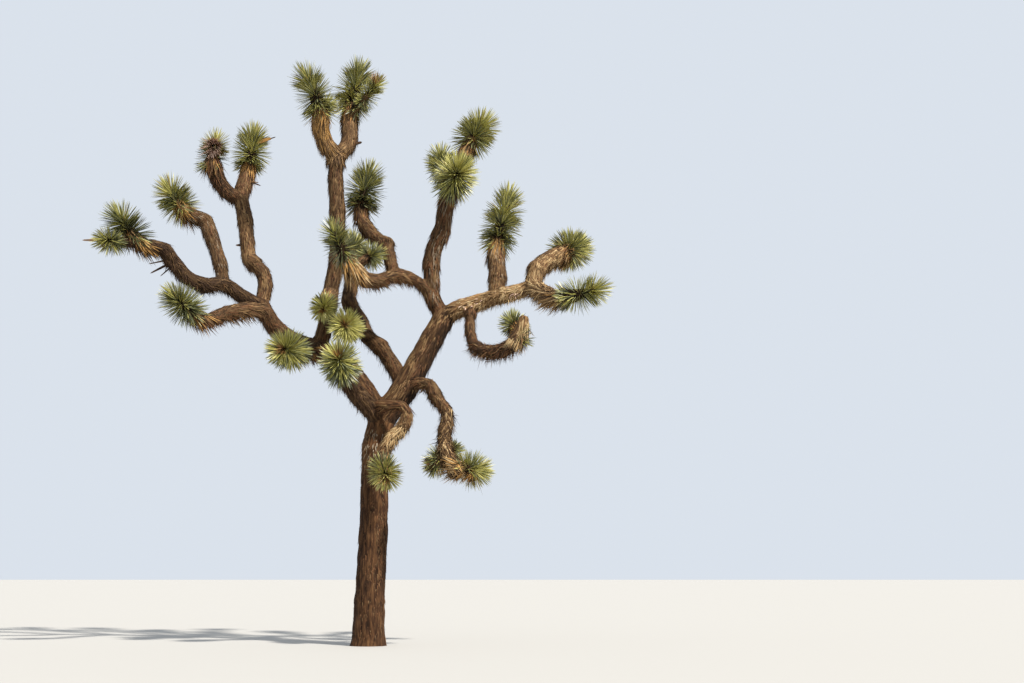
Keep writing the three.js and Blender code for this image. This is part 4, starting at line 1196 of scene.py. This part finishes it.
def make_dead_leaves(shoots):
    random = np.random.default_rng(DEAD_SEED)
    kinds = [[] for _ in DEAD_KINDS]

    def add(kind, keep, stations, shape, thickness=DEAD_THICKNESS):
        for number, parts in enumerate(kinds):
            mine = keep & (kind == number)
            if mine.any():
                foot, along, face, length, width, bend = [values[mine] for values in shape]
                parts.append(spikes(foot, along, face, length, width, width * thickness, stations, bend))

    for name in shoots:
        coat_leaves(name, shoots, random, add)
    for name in TUFTS:
        if name not in SLIM_NECKS:
            skirt_leaves(name, shoots, random, add)
    for name, (count, share) in FLOWERED.items():
        head_leaves(name, None, HEART_SPREAD, count, share, FLOWERED_TONES, shoots, random, add)
    for head in SIDE_HEADS:
        head_leaves(*head, shoots, random, add)
    for thatch in THATCHES:
        thatch_leaves(*thatch, shoots, random, add)
    for stalk in STALKS:
        make_stalk(*stalk, shoots, add)
    for name, parts in zip(DEAD_KINDS, kinds):
        points, faces = merged(parts)
        points[:, 2] = np.maximum(points[:, 2], JUST_OFF_GROUND)
        piece = mesh_piece(name, points, faces)
        piece.data.materials.append(leaf_material(name))
        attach(piece, "root")


# Materials

# Roughness and specular level
WAXY, DRY, BARKY = (0.4, 0.55), (0.8, 0.2), (0.9, 0.15)
LEAF_RANGE = (0.35, 0.65)  # of the noise, from a leaf's dark tone to its light one
# From the gaps in the bark to its ridges, the gaps darkened by painted shade
OLD_BARK = (
    (0.22, (0.019, 0.009, 0.004)), (0.42, (0.043, 0.02, 0.009)), (0.58, (0.08, 0.039, 0.016)),
    (0.78, (0.135, 0.07, 0.03)),
)
YOUNG_BARK = (
    (0.22, (0.011, 0.006, 0.003)), (0.42, (0.048, 0.026, 0.012)), (0.58, (0.115, 0.067, 0.029)),
    (0.78, (0.215, 0.14, 0.068)),
)
BLOTCHES = ((0.35, (0.8, 0.76, 0.76)), (0.65, (1.0, 1.0, 1.0)))
FIBRE_STRETCH = (1, 1, 0.1)
# painted shade: the bark is darker in its furrows and lighter on its ridges
FURROW_PAINTED_SHADE = 0.22  # how much lighter the bark is on its ridges


def new_material(name):
    material = bpy.data.materials.new(name)
    material.use_nodes = True
    tree = material.node_tree
    return material, tree, tree.nodes["Principled BSDF"]


def feed(tree, node, key, value):
    """Sets an input of a node to a value, or links it to another node's output."""
    if isinstance(value, bpy.types.NodeSocket):
        tree.links.new(value, node.inputs[key])
    else:
        node.inputs[key].default_value = value


def add_node(tree, kind, **settings):
    """A new node, whose settings name its inputs and its other properties."""
    node = tree.nodes.new(kind)
    for key, value in settings.items():
        if key in node.inputs:
            feed(tree, node, key, value)
        else:
            setattr(node, key, value)
    return node


def finish_shader(tree, shader, colour, looks):
    feed(tree, shader, "Base Color", colour)
    for key, value in zip(("Roughness", "Specular IOR Level"), looks):
        feed(tree, shader, key, value)


def ramp(tree, source, stops):
    """A colour ramp from (place, colour) stops, fed by a socket."""
    node = tree.nodes.new("ShaderNodeValToRGB")
    elements = node.color_ramp.elements
    stops = list(stops)
    while len(elements) < len(stops):
        elements.new(0.5)
    for element, (place, colour) in zip(elements, stops):
        element.position = place
        element.color = (*colour, 1)
    tree.links.new(source, node.inputs["Fac"])
    return node.outputs["Color"]


def leaf_material(name):
    """A near even colour, lighter and darker from leaf to leaf, with a dull gloss on living leaves."""
    material, tree, shader = new_material(name)
    spot = add_node(tree, "ShaderNodeTexCoord").outputs["Object"]
    grain = add_node(tree, "ShaderNodeTexNoise", Scale=16.0, Detail=2.0, Vector=spot)
    colour = ramp(tree, grain.outputs["Fac"], zip(LEAF_RANGE, LEAF_COLOURS[name]))
    finish_shader(tree, shader, colour, WAXY if name in LEAF_KINDS else DRY)
    return material


def bark_material(name):
    """Furrowed bark: painted shade in the gaps, lighter ridges, redder on the trunk and greyer on the limbs.
    """
    material, tree, shader = new_material(name)
    place, height, age, light = [
        add_node(tree, "ShaderNodeAttribute", attribute_name="bark_" + kind).outputs
        for kind in ("place", "height", "age", "light")
    ]
    stretched = add_node(tree, "ShaderNodeMapping", Scale=FIBRE_STRETCH, Vector=place["Vector"])
    fibres = add_node(
        tree, "ShaderNodeTexNoise", Scale=45.0, Detail=4.0, Roughness=0.65, Vector=stretched.outputs["Vector"]
    ).outputs["Fac"]
    blotches = add_node(tree, "ShaderNodeTexNoise", Scale=6.0, Detail=3.0, Vector=place["Vector"])
    # painted shade in the furrows: the ridges' height lightens the fibres' grain
    shade = add_node(tree, "ShaderNodeMath", operation="MULTIPLY_ADD")
    for number, value in enumerate((height["Fac"], FURROW_PAINTED_SHADE, fibres)):
        feed(tree, shade, number, value)
    old, young = [ramp(tree, shade.outputs[0], stops) for stops in (OLD_BARK, YOUNG_BARK)]
    by_age = add_node(tree, "ShaderNodeMix", data_type="RGBA", Factor=age["Fac"], A=young, B=old)
    mottled = add_node(
        tree, "ShaderNodeMix", data_type="RGBA", blend_type="MULTIPLY", Factor=1.0,
        A=by_age.outputs["Result"], B=ramp(tree, blotches.outputs["Fac"], BLOTCHES),
    )
    # the colour scaled by the bark's lightness, which carries painted light and shade
    lit = add_node(
        tree, "ShaderNodeVectorMath", operation="SCALE",
        Vector=mottled.outputs["Result"], Scale=light["Fac"],
    )
    finish_shader(tree, shader, lit.outputs["Vector"], BARKY)
    bump = add_node(tree, "ShaderNodeBump", Strength=0.8, Distance=0.012, Height=fibres)
    feed(tree, shader, "Normal", bump.outputs["Normal"])
    return material


# Stage, light and camera

PHOTO_WIDTH, PHOTO_HEIGHT = 1024, 683
HORIZON_ROW = 577  # pixel row of the photograph's horizon, which gives the camera's tilt
LENS, SENSOR = 45.0, 36.0
CAMERA_AT = (1.863, -17.0, 0.873)
FAR_CLIP = 1000
FLOOR_REACH, FLOOR_DROP = 400.0, 0.001
FLOOR_COLOUR, FLOOR_ROUGHNESS = (0.37, 0.36, 0.34, 1), 0.9
SKY_COLOUR, SKY_STRENGTH = (0.74, 0.80, 0.88, 1), 0.95
KEY_FROM = (0.5, -0.5, 0.8)
KEY_COLOUR, KEY_STRENGTH = (1.0, 0.95, 0.87), 7.0
KEY_WIDTH = 3  # degrees


def make_stage():
    corners = np.array([(-1, -1, 0), (1, -1, 0), (1, 1, 0), (-1, 1, 0)]) * FLOOR_REACH
    floor = mesh_piece("studio_floor", corners - UP * FLOOR_DROP, np.array([(0, 1, 2, 3)]))
    material, tree, shader = new_material("studio_floor")
    finish_shader(tree, shader, FLOOR_COLOUR, [FLOOR_ROUGHNESS])
    floor.data.materials.append(material)
    world = bpy.data.worlds.new("studio")
    bpy.context.scene.world = world
    world.use_nodes = True
    background = world.node_tree.nodes["Background"]
    background.inputs["Color"].default_value = SKY_COLOUR
    background.inputs["Strength"].default_value = SKY_STRENGTH
    light = bpy.data.lights.new("key", "SUN")
    light.energy = KEY_STRENGTH
    light.angle = math.radians(KEY_WIDTH)
    light.color = KEY_COLOUR
    key = bpy.data.objects.new("key", light)
    key.rotation_euler = Vector(KEY_FROM).to_track_quat("Z", "Y").to_euler()
    bpy.context.scene.collection.objects.link(key)
    bpy.context.scene.view_settings.view_transform = "Standard"


def make_camera():
    camera = bpy.data.cameras.new("camera")
    camera.lens = LENS
    camera.sensor_width = SENSOR
    camera.clip_end = FAR_CLIP
    seen = bpy.data.objects.new("camera", camera)
    focal_pixels = PHOTO_WIDTH * LENS / SENSOR
    tilt = math.atan((HORIZON_ROW - PHOTO_HEIGHT / 2) / focal_pixels)
    seen.location = CAMERA_AT
    seen.rotation_euler = (math.pi / 2 + tilt, 0, 0)
    bpy.context.scene.collection.objects.link(seen)
    bpy.context.scene.camera = seen


make_camera()
make_stage()
tree_shoots = grow_all()
make_bark(tree_shoots)
make_dead_leaves(tree_shoots)
make_leaves(tree_shoots)
